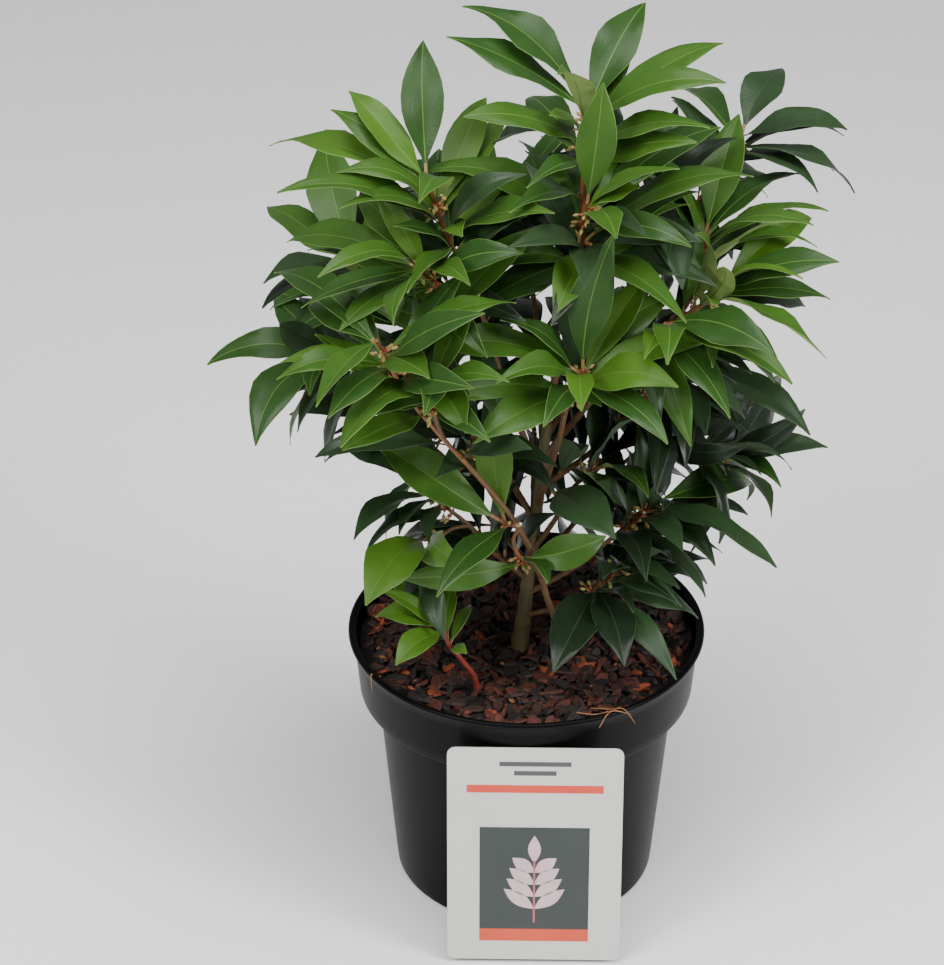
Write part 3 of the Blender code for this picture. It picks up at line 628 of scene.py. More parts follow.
# Small turns that a leaf tries, in order, when its place is taken: heading, rise, share of its length
NUDGES = ((0, 0, 1), (0, 5, 1), (0, -5, 1), (6, 0, 1), (-6, 0, 1), (0, 10, 1), (0, -10, 1), (12, 0, 1),
          (-12, 0, 1), (16, 6, 0.95), (-16, 6, 0.95), (0, 0, 0.8), (24, -8, 0.85), (-24, -8, 0.85),
          (0, 24, 0.8))


def heading(way_degrees, rise_degrees):
    """A direction from its degrees round from +X and above level."""
    a, b = math.radians(way_degrees), math.radians(rise_degrees)
    return np.array((math.cos(a) * math.cos(b), math.sin(a) * math.cos(b), math.sin(b)))


def put_leaf(space, node, root, way, stem_way, length, wide=LEAF_WIDTH_SHARE, arch=ARCH_SHARE, twist=0.0):
    """The leaf at its aim or the nearest free turn from it, as Leaf's fields after order, or None.

    Its face points up along the stem's direction and the light's, plus a twist about the leaf itself."""
    level = math.degrees(math.atan2(way[1], way[0]))
    rise = math.degrees(math.asin(max(-1.0, min(1.0, way[2]))))
    for turn, lift, share in NUDGES:
        aimed = heading(level + turn, min(rise + lift, STEEPEST))
        up = stem_way * STEM_SWAY + LIGHT + np.cross(aimed, stem_way) * twist
        if space.free(node, root, aimed, up, length * share, wide, arch):
            space.add(node, *plain_leaf(root, aimed, up, length * share, wide, arch))
            return root, aimed, up, length * share, wide, arch
    return None


def spiral_way(stem_way, turn, opening):
    """A leaf's direction: turned round the stem and opened away from it, both in degrees."""
    side = unit(np.cross(stem_way, (0.0, 1.0, 0.0)))
    other = np.cross(stem_way, side)
    a, b = math.radians(turn), math.radians(opening)
    return stem_way * math.cos(b) + (side * math.cos(a) + other * math.sin(a)) * math.sin(b)


def along_path(path, distances):
    """Points on a path and its direction there, at distances from its start in millimetres."""
    lengths = np.concatenate([[0], np.cumsum(np.linalg.norm(np.diff(path, axis=0), axis=1))])
    for at in distances:
        point = np.array([np.interp(at, lengths, path[:, axis]) for axis in range(3)])
        way = np.array([np.interp(at, lengths, ways(path)[:, axis]) for axis in range(3)])
        yield point, unit(way)


def length_of(path):
    """The path's length."""
    return float(np.linalg.norm(np.diff(path, axis=0), axis=1).sum())


def roots_of(path, count):
    """Where a shoot's leaves sit, from the tip down, and the stem's direction there."""
    whole = length_of(path)
    below = FIRST_LEAF_BELOW_TIP + LEAF_SPACING * np.arange(count)
    return list(along_path(path, np.maximum(whole - below, whole * LOWEST_LEAF_SHARE)))


def side_path(stem, tip):
    """A twig from the mass's own stem to its tip, leaving the stem a little below the nearest point."""
    tip = np.asarray(tip, float)
    apart = np.linalg.norm(stem - tip, axis=1)
    nearest = int(apart.argmin())
    back = max(1, nearest - 1 - int(apart[nearest] > FAR_TWIG))
    start = stem[back]
    return curve(start, ways(stem)[back] + unit(tip - start), tip, unit(tip - start) + (0, 0, 0.8), 4)


# %% Grow the limbs
def grow_limbs(space):
    """The boughs' and stems' paths and radii, and the shoots that are to carry leaves."""
    trunk = np.array(TRUNK_PATH, float)
    space.add("trunk", *tube(trunk, TRUNK_RADII))
    limbs, stems, shoots = [], [], []

    def add_stems(bough, node, stem, radius):
        for i, shoot in enumerate(bough.shoots):
            path = stem if i == 0 else side_path(stem, shoot.tip)
            radii = np.linspace(radius if i == 0 else TWIG_RADIUS, TIP_RADIUS, len(path))
            space.add(node, *tube(path, radii))
            stems.append((node, path, radii))
            shoots.append((node, shoot, path, len(shoots)))

    for bough in BOUGHS:
        from_soil = not isinstance(bough.foot, int)
        if from_soil:
            foot = np.array(bough.foot, float)
        else:
            foot = np.array([np.interp(bough.foot, trunk[:, 2], trunk[:, axis]) for axis in range(3)])
        tip = np.array(bough.tip, float)
        lean = np.array((0.0, 0.0, 1.0)) if from_soil or bough.name == "leader" else unit(tip - foot)
        if bough.name == "leader":
            foot = foot + GAP * ways(trunk)[-1]
        path = curve(foot, lean, tip, unit(tip - foot) + (0, 0, 0.5), 5)
        radii = np.linspace(bough.radius, bough.radius * 0.8, len(path))
        limbs.append((f"bough_{bough.name}", path, radii))
        space.add(f"bough_{bough.name}", *tube(path, radii))
        start = tip + ways(path)[-1] * GAP
        end = np.array(bough.shoots[0].tip, float)
        stem = curve(start, ways(path)[-1], end, unit(end - start) + (0, 0, 0.6), 6)
        add_stems(bough, f"mass_{bough.name}", stem, radii[-1])
    foot, end = np.array(SUCKER_FOOT, float), np.array(SUCKER.tip, float)
    sucker = Bough("sucker", None, None, SUCKER_RADIUS, "fresh", (SUCKER,))
    add_stems(sucker, "mass_sucker", curve(foot, (0, 0, 1), end, (0, 0, 1), 5), SUCKER_RADIUS)
    return limbs, stems, shoots


space = Space()
limbs, stems, shoots = grow_limbs(space)
print("boughs:", len(limbs), "stems:", len(stems))


# %% Grow the leaves
def grow_leaves(space, shoots):
    """The leaves that make the outline, all of them first, and then the others by the golden angle."""
    leaves = []

    def grow(node, number, order, *place, **form):
        put = put_leaf(space, node, *place, **form)
        if put:
            leaves.append(Leaf(node, number, order, *put))

    for node, shoot, path, number in shoots:
        for order, ((root, stem_way), aim) in enumerate(zip(roots_of(path, shoot.leaves), shoot.aims)):
            if aim is not None:
                turn, rise, *form = aim
                grow(node, number, order, root, heading(turn, rise), stem_way, *form)
    for node, shoot, path, number in shoots:
        chance = np.random.RandomState(number)
        for i, (root, stem_way) in list(enumerate(roots_of(path, shoot.leaves)))[len(shoot.aims):]:
            jitter = chance.uniform(-1, 1, 4)
            opening = OPENING_AT_TIP + OPENING_GAINED * i / shoot.leaves + OPENING_SPREAD * jitter[0]
            turn = GOLDEN_ANGLE * i + SHOOT_TURN * number + TURN_SPREAD * jitter[1]
            way = spiral_way(stem_way, turn, opening)
            length = shoot.length * (LENGTH_SHARE + LENGTH_SPREAD * jitter[2])
            grow(node, number, i, root, way, stem_way, length, twist=TWIST * jitter[3])
    return leaves


leaves = grow_leaves(space, shoots)
print("leaves:", len(leaves))

# %% [markdown]
# ## Inner leaves
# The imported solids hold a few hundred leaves. The real shoots also carry shaded leaves further down their
# stems. They come from the same rule, in the places that are still free, and none is long enough to pass the
# leaves that are there. The stems at the front are bare lower down, so that the limbs and the soil show.

# %% Grow them
INNER_LEAVES = 13
INNER_FROM = 0.9
INNER_TO = 0.12
BARE_BELOW = {"mass_left_front": 0.45, "mass_front": 0.4, "mass_sucker": 0.9}
OPEN_SHOOTS = (6, 7, 20, 21, 25, 26, 27)
INNER_OPENING = 46
INNER_OPENING_GAINED = 34
SHADED_LIMBS = ("left_low", "back_left_low", "back_low", "back_right_low", "back_left", "back", "back_right",
                "right_middle")
SHADED_SHARES = (0.95, 0.85, 0.75, 0.65, 0.55, 0.45, 0.35, 0.25)


def grow_inner(space, shoots):
    """More leaves down each shoot's stem, turned by the golden angle, but none on the open shoots."""
    more = []
    for node, shoot, path, number in shoots:
        if number in OPEN_SHOOTS:
            continue
        chance = np.random.RandomState(500 + number)
        shares = np.linspace(INNER_FROM, INNER_TO, INNER_LEAVES)
        for i, (point, way) in enumerate(along_path(path, shares * length_of(path)), start=1):
            jitter = chance.uniform(-1, 1, 5)
            if shares[i - 1] < BARE_BELOW.get(node, 0):
                continue
            opening = INNER_OPENING + INNER_OPENING_GAINED * (1 - shares[i - 1]) + 12 * jitter[0]
            length = shoot.length * (0.92 + 0.12 * jitter[2])
            aimed = spiral_way(way, GOLDEN_ANGLE * (i + 5) + 71 * number + 20 * jitter[1], opening)
            put = put_leaf(space, node, point, aimed, way, length, arch=0.1 + 0.05 * jitter[4],
                           twist=TWIST * jitter[3])
            if put:
                more.append(Leaf(node, number, 40 + i, *put))
    return more


def grow_shaded(space, limbs):
    """Dark leaves on the upper half of the boughs at the back and low down, by the same rule; their dark greens are
    partly painted shade.
    """
    more = []
    for number, (name, path, _) in enumerate(limbs):
        if name[len("bough_"):] not in SHADED_LIMBS:
            continue
        chance = np.random.RandomState(900 + number)
        for i, (point, way) in enumerate(along_path(path, np.array(SHADED_SHARES) * length_of(path))):
            aimed = spiral_way(way, GOLDEN_ANGLE * i + 90 * number, 70 + chance.uniform(-8, 8))
            put = put_leaf(space, name, point, aimed, way, chance.uniform(66, 80))
            if put:
                more.append(Leaf(name, 100 + number, 60 + i, *put))
    return more


leaves += grow_inner(space, shoots)
leaves += grow_shaded(space, limbs)
print("leaves with the inner ones:", len(leaves))

# %% [markdown]
# ## A leaf
# A sweet box leaf is a stiff lance: a short stalk, a blade that is widest at its middle, wedge-shaped below
# and drawn out to a short point, folded along a pale midrib, arched, with wavy edges that are thin and pale,
# and a duller underside. A flat card with a picture would do from afar. Here each leaf is a closed thin shell
# carried along its own curved midrib, and midrib, edge and underside are faces with finishes of their own.

# %% Leaf surface
EDGE_WIDTH = 0.3
EDGE_HEIGHT = 0.3
RIB_HALF_WIDTH = 0.42
RIB_AT_TIP = 0.2
STALK_SHARE = 0.06
BLADE_STEPS = 13
SHELL_THICKNESS = 0.9
TOP, RIB, EDGE, UNDER, STALK = range(5)
STRIP_FINISH = (TOP, TOP, RIB, TOP, TOP, EDGE, UNDER, UNDER, RIB, UNDER, UNDER, EDGE)
AROUND = len(STRIP_FINISH)
UNDERSIDE = range(6, 11)


def leaf_shell(leaf, fold, roll, sway, wave, phase, hook):
    """The points of one leaf, ring after ring along its midrib, in millimetres.

    Midrib: root + way * L u + (up * arch + across * sway) * L * 4 u (1 - u), and it rises a further
    hook * L * 4 u^2 (1 - u), most at two thirds of the way and nothing at the tip, so that the tip stays in its place.
    Half width: wide * L / 2 * sin(pi b) ^ (1.25 - 0.2 b), b from 0 to 1 on the blade.
    Height over the midrib at v across: half * (sin(fold) * (sqrt(v^2 + 0.02) - 0.14) - 0.1 v^4
    + wave * v^2 * sin(phase + 11 u + 1.7 sign(v))): a V whose edges turn down and ripple."""
    t = np.linspace(0.04, 1, BLADE_STEPS)
    blade = t - 0.06 * np.sin(math.tau * t)
    u = np.concatenate([(0.0, STALK_SHARE * 0.6), STALK_SHARE + (1 - STALK_SHARE) * blade])[:, None]
    b = np.clip((u - STALK_SHARE) / (1 - STALK_SHARE), 0, 1)
    up = unit(leaf.up - leaf.way * (leaf.up @ leaf.way))
    across = np.cross(leaf.way, up)
    bend = leaf.length * 4 * u * (1 - u)
    lift = hook * leaf.length * 4 * u**2 * (1 - u)
    middle = leaf.root + leaf.way * leaf.length * u + up * (leaf.arch * bend + lift) + across * sway * bend
    along = ways(middle)
    side = unit(np.cross(along, up))
    normal = np.cross(side, along)
    turn = roll * u
    side, normal = side * np.cos(turn) + normal * np.sin(turn), normal * np.cos(turn) - side * np.sin(turn)
    swell = np.sin(math.pi * np.clip(b, 0, 0.9999)) ** (1.25 - 0.2 * b)
    half = np.maximum(leaf.wide * leaf.length / 2 * swell, 0.8 - 0.6 * b)
    rib = np.minimum((RIB_HALF_WIDTH + (RIB_AT_TIP - RIB_HALF_WIDTH) * b) / half, 0.3)
    rim = 1 + EDGE_WIDTH / half
    flat = np.ones_like(half)
    columns = np.hstack([-flat, -0.5 * flat, -rib, rib, 0.5 * flat, flat, rim, 0.5 * flat, rib, -rib, -0.5 * flat, -rim])
    rise = np.sin(fold) * (np.sqrt(columns**2 + 0.02) - 0.14) - 0.1 * columns**4
    rise = rise + wave * columns**2 * np.sin(phase + 11 * u + 1.7 * np.sign(columns))
    edge, belly = EDGE_HEIGHT, SHELL_THICKNESS
    thick = np.array((0, 0, 0, 0, 0, 0, edge, 0.8 * belly, belly, belly, 0.8 * belly, edge))
    depth = thick[None, :] * np.clip(1.3 - b, 0.35, 1) * np.minimum(1, half / 1.2)
    return (middle[:, None, :] + side[:, None, :] * (columns * half * math.cos(fold))[..., None]
            + normal[:, None, :] * (rise * half - depth)[..., None])


def leaf_faces(rings, around):
    """Faces of one shell, its two ends closed, and the finish of each.

    A quad's corners are listed from another start below, so that both sides split along the same diagonal
    and the underside never shows through the top."""
    faces = ring_faces(rings, around)
    for i, face in enumerate(faces):
        if i % around in UNDERSIDE:
            faces[i] = face[1:] + face[:1]
    kinds = np.tile(STRIP_FINISH, rings - 1)
    kinds[:around * 2] = STALK
    faces += [list(range(around))[::-1], list(range((rings - 1) * around, rings * around))]
    return faces, np.concatenate([kinds, (STALK, EDGE)])


SHELL_FACES, SHELL_KINDS = leaf_faces(2 + BLADE_STEPS, AROUND)
print("faces in a leaf:", len(SHELL_FACES))

# %% [markdown]
# ## Leaf finishes
# This year's leaves are a fresh mid green with a satin gloss, and last year's, lower and further back, are
# nearly black-green and shinier. The green is dealt out leaf by leaf from a few plain greens, which any
# program keeps, and each green drifts a little by noise. Some of it is painted light and shade: leaves
# set deep in the crown take darker greens as painted shade, a few leaves take a lighter or darker green
# one by one, and the deep green is lighter and greyer in part as painted sheen.

# %% Greens
Green = namedtuple("Green", "slot top other gloss")
GREENS = {
    "bright": Green("leaves_fresh", srgb(60, 96, 24), srgb(72, 108, 30), 0.44),
    "fresh": Green("leaves_fresh", srgb(48, 82, 24), srgb(58, 92, 26), 0.4),
    "mid": Green("leaves_mid", srgb(36, 66, 24), srgb(44, 76, 26), 0.38),
    # The deep green is partly the leaf's own colour and partly painted sheen, which makes it lighter and greyer.
    "deep": Green("leaves_mid", srgb(35, 56, 32), srgb(43, 66, 36), 0.36),
    "old": Green("leaves_old", srgb(22, 34, 22), srgb(29, 43, 26), 0.32),
}
PALE_RIB = {"bright", "fresh", "mid"}
TINT_OF = {f"mass_{bough.name}": bough.tint for bough in BOUGHS}
TINT_OF["mass_sucker"] = "fresh"

# Leaves whose green stands out from their neighbours', by shoot and order: partly their own tone, partly painted light
# and shade, a lighter green where light falls on a leaf and a darker one where it lies in shade
SHADES = {
    "bright": ((26, 0), (26, 1), (8, 1), (8, 9), (8, 12), (8, 13), (3, 4), (3, 5), (1, 1), (0, 7), (2, 3),
               (6, 1), (11, 0), (11, 4), (11, 5), (34, 0), (34, 1)),
    "fresh": ((1, 0), (0, 3), (3, 1), (3, 2), (3, 3), (3, 6), (3, 7), (3, 13), (2, 0), (2, 1), (2, 7), (7, 1),
              (8, 11), (10, 0), (13, 1), (23, 1)),
    "mid": ((0, 0), (0, 1), (0, 2), (3, 0), (2, 5), (4, 2), (7, 2), (8, 0), (13, 0), (24, 1)),
    "deep": ((0, 5), (3, 8), (15, 2), (14, 1), (16, 0), (18, 1), (21, 0), (25, 1)),
    "old": ((11, 3), (23, 3), (24, 2), (20, 0), (20, 1)),
}
SHADE_OF = {leaf: shade for shade, its in SHADES.items() for leaf in its}

rib_finish = {
    "fresh": finish("rib_fresh", srgb(78, 108, 42), 0.5, specular=0.3),
    "old": finish("rib_old", srgb(42, 60, 36), 0.5, specular=0.3),
}
edge_finish = {
    "fresh": finish("edge_fresh", srgb(84, 112, 50), 0.5, specular=0.3),
    "old": finish("edge_old", srgb(46, 62, 40), 0.5, specular=0.3),
}
# The fresh underside green is the underside's own paler colour, lightened further as painted light on undersides that
# lie in shade.
under_finish = {
    "fresh": finish("under_fresh", srgb(124, 146, 80), 0.6, spots=90, specular=0.3),
    "old": finish("under_old", srgb(64, 84, 58), 0.6, spots=90, specular=0.3),
}
stalk_finish = finish("stalk", srgb(132, 122, 66), 0.55, other=srgb(138, 84, 56), spots=150)


def green_of(leaf, chance):
    """Which green a leaf takes: by its bough's age and a draw, and with painted shade, as inner leaves take darker
    greens the further down their shoot they sit.
    """
    tint = TINT_OF.get(leaf.node, "old")
    draw = chance.uniform()
    if (leaf.number, leaf.order) in SHADE_OF:
        return SHADE_OF[leaf.number, leaf.order]
    # Painted shade: inner leaves lower on their shoot, deep in the crown, take darker greens.
    depth = leaf.order - 40
    if leaf.node == "mass_sucker":
        return "bright" if draw < 0.6 else "fresh"
    if tint == "fresh":
        if depth > 8:
            return "mid" if draw < 0.15 else "deep" if draw < 0.7 else "old"
        if depth > 4:
            return "fresh" if draw < 0.15 else "mid" if draw < 0.65 else "deep"
        return "bright" if draw < 0.1 else "fresh" if draw < 0.75 else "mid"
    if tint == "mid":
        return "fresh" if draw < 0.15 else "mid" if draw < 0.6 else "deep" if draw < 0.85 else "old"
    # Painted shade: the inner and shaded leaves of older boughs take the darkest greens.
    if depth > 0:
        return "deep" if draw < 0.25 else "old"
    return "mid" if draw < 0.1 else "deep" if draw < 0.75 else "old"


# %% Join the leaves by green
# How much a leaf folds and rolls, in degrees, and sways, ripples and hooks, with the spread about each
FOLD, FOLD_SPREAD = 18, 9
ROLL_SPREAD = 30
SWAY_SPREAD = 0.05
WAVE, WAVE_SPREAD = 0.15, 0.09
HOOK, HOOK_SPREAD = 0.07, 0.06


def build_leaves():
    """One mesh for each green, made of the shells of its leaves."""
    chance = np.random.RandomState(7)
    groups = {green: [] for green in GREENS}
    for leaf in leaves:
        green = green_of(leaf, chance)
        leaf_groups[green].append(leaf)
        draws = chance.uniform(-1, 1, 6)
        fold = math.radians(FOLD + FOLD_SPREAD * draws[0])
        roll = math.radians(ROLL_SPREAD) * draws[1]
        shell = leaf_shell(leaf, fold, roll, SWAY_SPREAD * draws[2], WAVE + WAVE_SPREAD * draws[3],
                           math.pi * draws[4], HOOK + HOOK_SPREAD * draws[5])
        groups[green].append(shell.reshape(-1, 3))
    made = {}
    for green, shells in groups.items():
        size = len(shells[0])
        faces = [[i + k * size for i in face] for k in range(len(shells)) for face in SHELL_FACES]
        # Deep and old greens, some of them painted shade, take the darker rib, edge and underside.
        age_and_shade = "fresh" if green in PALE_RIB else "old"
        kind = GREENS[green]
        top = finish(f"leaf_{green}", kind.top, kind.gloss, other=kind.other, spots=70, share=0.8,
                     grain=700, bump=0.00012, specular=0.26)
        made[green] = piece(f"leaves_{green}", np.concatenate(shells), faces,
                            [top, rib_finish[age_and_shade], edge_finish[age_and_shade], under_finish[age_and_shade], stalk_finish],
                            face_finish=np.tile(SHELL_KINDS, len(shells)), sharp=42)
        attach(made[green], "root")
        print(green, len(shells), "leaves,", sum(len(f) - 2 for f in faces), "triangles")
    return made


leaf_groups = {green: [] for green in GREENS}
leaf_pieces = build_leaves()
for tint in ("fresh", "mid", "old"):
    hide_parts(*[node for node, its in TINT_OF.items() if its == tint])

# %% [markdown]
# ## Bark
# The trunk's young bark is smooth, olive, with fine lengthwise lines and a ring of scars where each old leaf
# sat. The youngest stems are red-brown. The relief is real: each limb is a fine tube whose radius takes the
# lines and the scars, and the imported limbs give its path.

# %% Limb surface
def smooth_path(path, steps):
    """A Catmull-Rom curve through the path's points, with a number of steps between each two."""
    path = np.asarray(path, float)
    ends = np.concatenate([[2 * path[0] - path[1]], path, [2 * path[-1] - path[-2]]])
    t = np.linspace(0, 1, steps, endpoint=False)[:, None]
    runs = []
    for a, b, c, d in zip(ends[:-3], ends[1:-2], ends[2:-1], ends[3:]):
        runs.append(0.5 * (2 * b + (c - a) * t + (2 * a - 5 * b + 4 * c - d) * t**2
                           + (3 * b - a - 3 * c + d) * t**3))
    return np.concatenate(runs + [path[-1:]])


def limb(path, radii, sides, steps, relief, scar_every, seed):
    """Points and faces of a tapering limb with bark relief.

    Formula: radius(s, t) = r(s) * (1 + relief * (sin(3 t + 2 w) + 0.6 sin(7 t - w))) + a scar, where w wanders
    with the distance s along the limb, and a scar is a bump of a fifteenth of r that repeats every
    scar_every millimetres on the side that turns by the golden angle."""
    path = np.asarray(path, float)
    fine = smooth_path(path, steps)
    share = np.linspace(0, 1, len(fine))
    radius = np.interp(share, np.linspace(0, 1, len(radii)), radii)
    run = np.concatenate([[0], np.cumsum(np.linalg.norm(np.diff(fine, axis=0), axis=1))])
    along = ways(fine)
    across = unit(np.cross(along[0], (0.3, 1.0, 0.1)))
    frames = []
    for way in along:
        across = unit(across - way * (across @ way))
        frames.append((across, np.cross(way, across)))
    frames = np.array(frames)
    turn = np.arange(sides) * math.tau / sides
    t, s = turn[None, :], run[:, None]
    wander = np.sin(s / 7.0 + seed) + 0.5 * np.sin(s / 3.1 + 2 * seed)
    count = np.floor(s / scar_every)
    near = np.exp(-(((s / scar_every - count) - 0.5) * scar_every / 1.1) ** 2)
    facing = np.clip(np.cos(t - count * math.radians(GOLDEN_ANGLE)), 0, 1)
    r = radius[:, None] * (1 + relief * (np.sin(3 * t + 2 * wander) + 0.6 * np.sin(7 * t - wander)))
    r = r + radius[:, None] * near * (0.05 + 0.16 * facing)
    points = fine[:, None, :] + r[..., None] * (frames[:, None, 0] * np.cos(t)[..., None]
                                               + frames[:, None, 1] * np.sin(t)[..., None])
    if path[0, 2] < SOIL_TOP + 1:
        points[0, :, 2] = path[0, 2]
    faces = ring_faces(len(fine), sides)
    last = (len(fine) - 1) * sides
    faces += [list(range(sides))[::-1], list(range(last, last + sides))]
    return points.reshape(-1, 3), faces


def joined(parts):
    """Many (points, faces) as one."""
    points, faces, first = [], [], 0
    for its_points, its_faces in parts:
        points.append(its_points)
        faces += [[i + first for i in face] for face in its_faces]
        first += len(its_points)
    return np.concatenate(points), faces


# %% Trunk, boughs and stems
olive_bark = finish("olive_bark", srgb(98, 84, 50), 0.6, other=srgb(74, 72, 40), spots=90, share=0.8,
                    grain=900, bump=0.0003)
brown_bark = finish("brown_bark", srgb(104, 58, 36), 0.55, other=srgb(92, 80, 44), spots=70, share=0.9,
                    grain=900, bump=0.0002)
young_bark = finish("young_bark", srgb(128, 56, 34), 0.5, other=srgb(120, 96, 50), spots=120, share=0.9,
                    grain=900, bump=0.0002)
YOUNG_FROM = 0.5
red_bark = finish("red_bark", srgb(132, 52, 42), 0.5, other=srgb(112, 44, 38), spots=110, grain=900, bump=0.0002)

trunk_piece = piece("trunk_bark", *limb(TRUNK_PATH, TRUNK_RADII, 28, 26, 0.025, 13.0, 1.0), olive_bark)
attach(trunk_piece, "root")
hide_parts("trunk")

bough_piece = piece("bough_bark", *joined([limb(path, radii, 16, 12, 0.03, 11.0, float(i))
                                           for i, (_, path, radii) in enumerate(limbs)]), brown_bark)
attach(bough_piece, "root")
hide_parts(*[name for name, _, _ in limbs])

stem_parts = [limb(path, radii, 12, 10, 0.03, 6.5, float(i))
              for i, (node, path, radii) in enumerate(stems) if node != "mass_sucker"]
# Each stem's upper part is this year's growth, and redder
redness = np.concatenate([np.arange(len(faces)) > YOUNG_FROM * len(faces) for _, faces in stem_parts])
stem_piece = piece("stem_bark", *joined(stem_parts), [brown_bark, young_bark], face_finish=redness)
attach(stem_piece, "root")

sucker_parts = [limb(path, radii, 14, 12, 0.03, 6.5, 2.0) for node, path, radii in stems if node == "mass_sucker"]
sucker_piece = piece("sucker_bark", *joined(sucker_parts), red_bark)
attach(sucker_piece, "root")
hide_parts("mass_sucker")
print("limbs:", 1 + len(limbs), "stems:", len(stems))

# %% [markdown]
# ## Flower buds
# In the leaf bases near most tips hang small clusters of buds: yellow-green, 4 to 6 mm long, on short
# stalks, each with red-brown scales at its foot. They are turned drops, placed by a seeded draw below the
# whorl of leaves, and joined into one mesh for the buds and one for the scales.

# %% Buds
def drop(foot, way, length, width, around=7, steps=5):
    """A closed drop: half width * sin(pi t^0.8) ^ 0.8 round its own axis, t from foot to tip."""
    way = unit(way)
    side = unit(np.cross(way, (0.2, 0.5, 1.0)))
    other = np.cross(way, side)
    t = np.linspace(0.04, 0.97, steps)[:, None]
    radius = width / 2 * np.sin(math.pi * t**0.8) ** 0.8
    turn = (np.arange(around) * math.tau / around)[None, :]
    points = (foot + way * (t * length))[:, None, :] + radius[..., None] * (
        side * np.cos(turn)[..., None] + other * np.sin(turn)[..., None])
    faces = ring_faces(steps, around)
    last = (steps - 1) * around
    faces += [list(range(around))[::-1], list(range(last, last + around))]
    return points.reshape(-1, 3), faces


def build_buds():
    """Clusters of buds below each whorl: how many depends on a draw, and the youngest shoot has none."""
    chance = np.random.RandomState(23)
    buds, scales = [], []
    for node, shoot, path, number in shoots:
        if node == "mass_sucker":
            continue
        places = list(roots_of(path, shoot.leaves))
        for order in range(1, min(9, len(places))):
            root, way = places[order]
            if chance.uniform() > 0.8:
                continue
            out = spiral_way(way, GOLDEN_ANGLE * order + 40 * number, 75)
            for _ in range(chance.randint(2, 5)):
                aim = unit(out + chance.uniform(-0.7, 0.7, 3) + (0, 0, -0.25))
                foot = root + aim * 1.6
                stalk = chance.uniform(2.0, 4.5)
                buds.append(tube([foot, foot + aim * stalk * 1.1], [0.45, 0.4]))
                scales.append(drop(foot, aim, 3.2, 2.2))
                buds.append(drop(foot + aim * stalk, aim + (0, 0, -0.15), chance.uniform(4.0, 6.0), 2.4))
    for name, parts, shade in (("flower_buds", buds, finish("bud", srgb(150, 158, 78), 0.5,
                                                            other=srgb(170, 128, 84), spots=200)),
                               ("bud_scales", scales, finish("scale", srgb(142, 60, 42), 0.55,
                                                             other=srgb(168, 108, 66), spots=200))):
        made = piece(name, *joined(parts), shade)
        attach(made, "root")
        print(name, len(parts))


build_buds()

# %% [markdown]
# ## Bark strands
# A few thin shreds of bark lie over the rim at the front, where the bed was topped up. Each is a fine tube
# along a path of its own.

# %% Strands
STRANDS = (((28, -86, 169), (42, -93, 172), (54, -97, 177.6), (64, -98, 176)),
           ((40, -82, 169), (52, -90, 174), (60, -95, 177.6), (67, -99, 170)),
           ((58, -80, 169), (56, -90, 174), (50, -100.5, 177.6), (45, -107, 172)),
           ((-90, -50, 169), (-94, -58, 175), (-95.5, -60.5, 177.3), (-95, -63, 166)))

strands = piece("bark_strands", *joined([tube(smooth_path(path, 6), np.linspace(0.55, 0.25, 19)) for path in STRANDS]),
                finish("strand", srgb(168, 118, 74), 0.7, other=srgb(132, 80, 46), spots=160))
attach(strands, "root")
print(len(STRANDS), "strands")

# %% [markdown]
# ## The label
# A plastic card leans on the collar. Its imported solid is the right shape, so it stays and takes a satin
# white finish. The print is a plain design: bars in two colours, and a dark panel with a band and a sprig
# of round leaves. Each printed field is a thin sheet laid a tenth of a millimetre proud of the card.

# %% Card
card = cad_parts["label"]
card.data.materials.clear()
card.data.materials.append(finish("card", srgb(203, 203, 196), 0.32, other=srgb(209, 209, 202), spots=12,
                                  grain=500, bump=0.00003))
front = max((face for face in card.data.polygons if face.normal.y < -0.5), key=lambda face: face.area)
card_normal = np.array(front.normal)
card_up = unit(np.cross((1.0, 0.0, 0.0), card_normal))
card_up = card_up if card_up[2] > 0 else -card_up
corners = np.array([vertex.co for vertex in card.data.vertices]) / MM
card_face = (corners @ card_normal).max()
card_low, card_high = (corners @ card_up).min(), (corners @ card_up).max()
card_left, card_right = corners[:, 0].min(), corners[:, 0].max()
print("card:", round(card_right - card_left, 1), "x", round(card_high - card_low, 1), "mm")


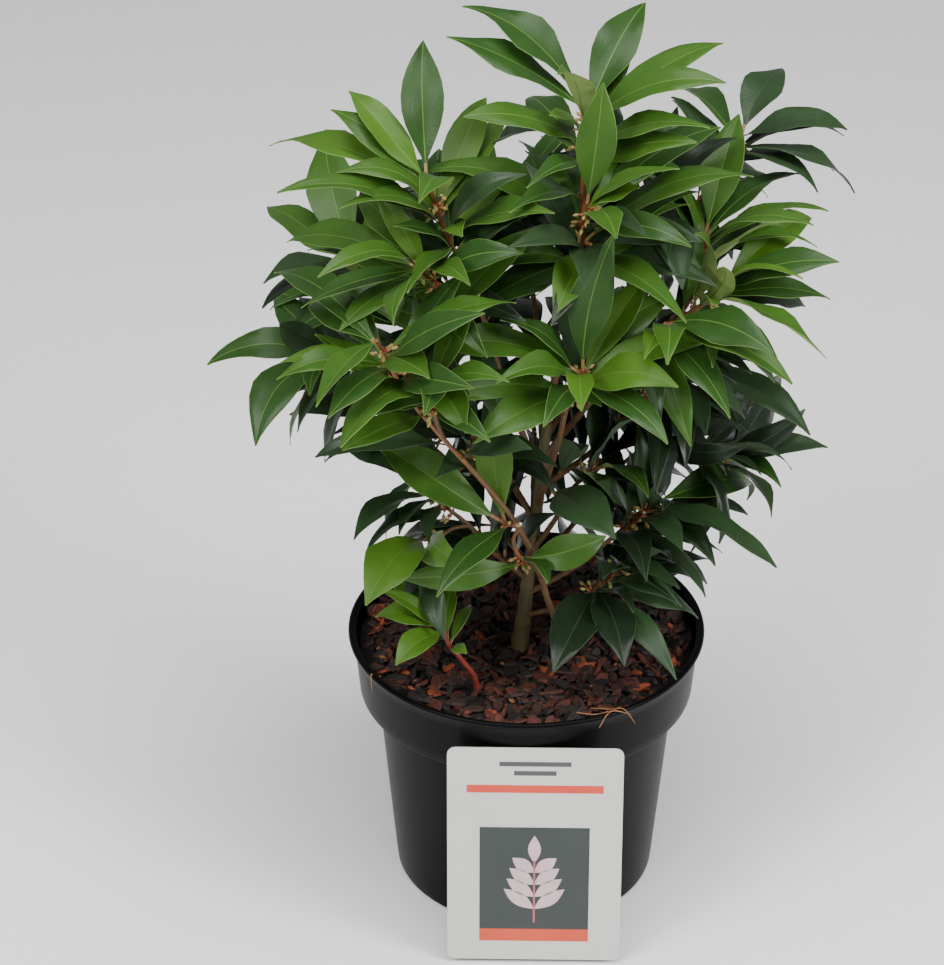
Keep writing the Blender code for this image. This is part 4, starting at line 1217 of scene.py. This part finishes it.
def on_card(name, outlines, colour, proud, gloss=0.35):
    """Flat printed fields: each outline is a ring of (x from the card's middle, height from its foot).

    Each becomes a thin prism from the card's face to proud millimetres over it."""
    parts = []
    for outline in outlines:
        flat = np.asarray(outline, float)
        rings = []
        for lift in (0.02, proud):
            rings.append(((card_left + card_right) / 2 + flat[:, :1]) * np.array((1.0, 0.0, 0.0))
                         + (card_low + flat[:, 1:]) * card_up + (card_face + lift) * card_normal)
        count = len(flat)
        faces = ring_faces(2, count) + [list(range(count))[::-1], list(range(count, 2 * count))]
        parts.append((np.concatenate(rings), faces))
    made = piece(name, *joined(parts), finish(name, colour, gloss, spots=40, share=0.9), smooth=False)
    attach(made, "root")
    return made


# %% Print
def bar(x, y, width, height):
    """A bar's corners, anticlockwise from its lower left."""
    return [(x, y), (x + width, y), (x + width, y + height), (x, y + height)]


def blade_outline(x, y, length, width, degrees, steps=9):
    """A pointed oval: half width * sin(pi t) along its length, turned by an angle."""
    t = np.linspace(0, 1, steps)
    rim = width / 2 * np.sin(math.pi * t)
    along = np.concatenate([t * length, (t[::-1] * length)[1:-1]])
    side = np.concatenate([-rim, rim[::-1][1:-1]])
    a = math.radians(degrees)
    return np.stack([x + along * math.cos(a) - side * math.sin(a),
                     y + along * math.sin(a) + side * math.cos(a)], axis=-1)


on_card("label_dark_bars", [bar(-22, 142, 44, 3.2), bar(-13, 135.5, 26, 3.2)], srgb(70, 70, 72), 0.1)
on_card("label_red_bars", [bar(-42, 123, 84, 5.5)], srgb(206, 62, 40), 0.1)
on_card("label_panel", [bar(-34, 14, 68, 84)], srgb(40, 48, 46), 0.1, gloss=0.25)
on_card("label_band", [bar(-34, 14, 68, 9)], srgb(200, 70, 38), 0.18, gloss=0.25)
sprig = [blade_outline(0, 38 + 9 * i, 24 - 2.2 * i, 9, 90 + turn) for i in range(4) for turn in (-52, 52)]
on_card("label_leaves", sprig + [blade_outline(0, 72, 20, 8, 90)], srgb(196, 170, 176), 0.2, gloss=0.3)
on_card("label_stem", [bar(-0.6, 28, 1.2, 46)], srgb(168, 84, 96), 0.24, gloss=0.3)
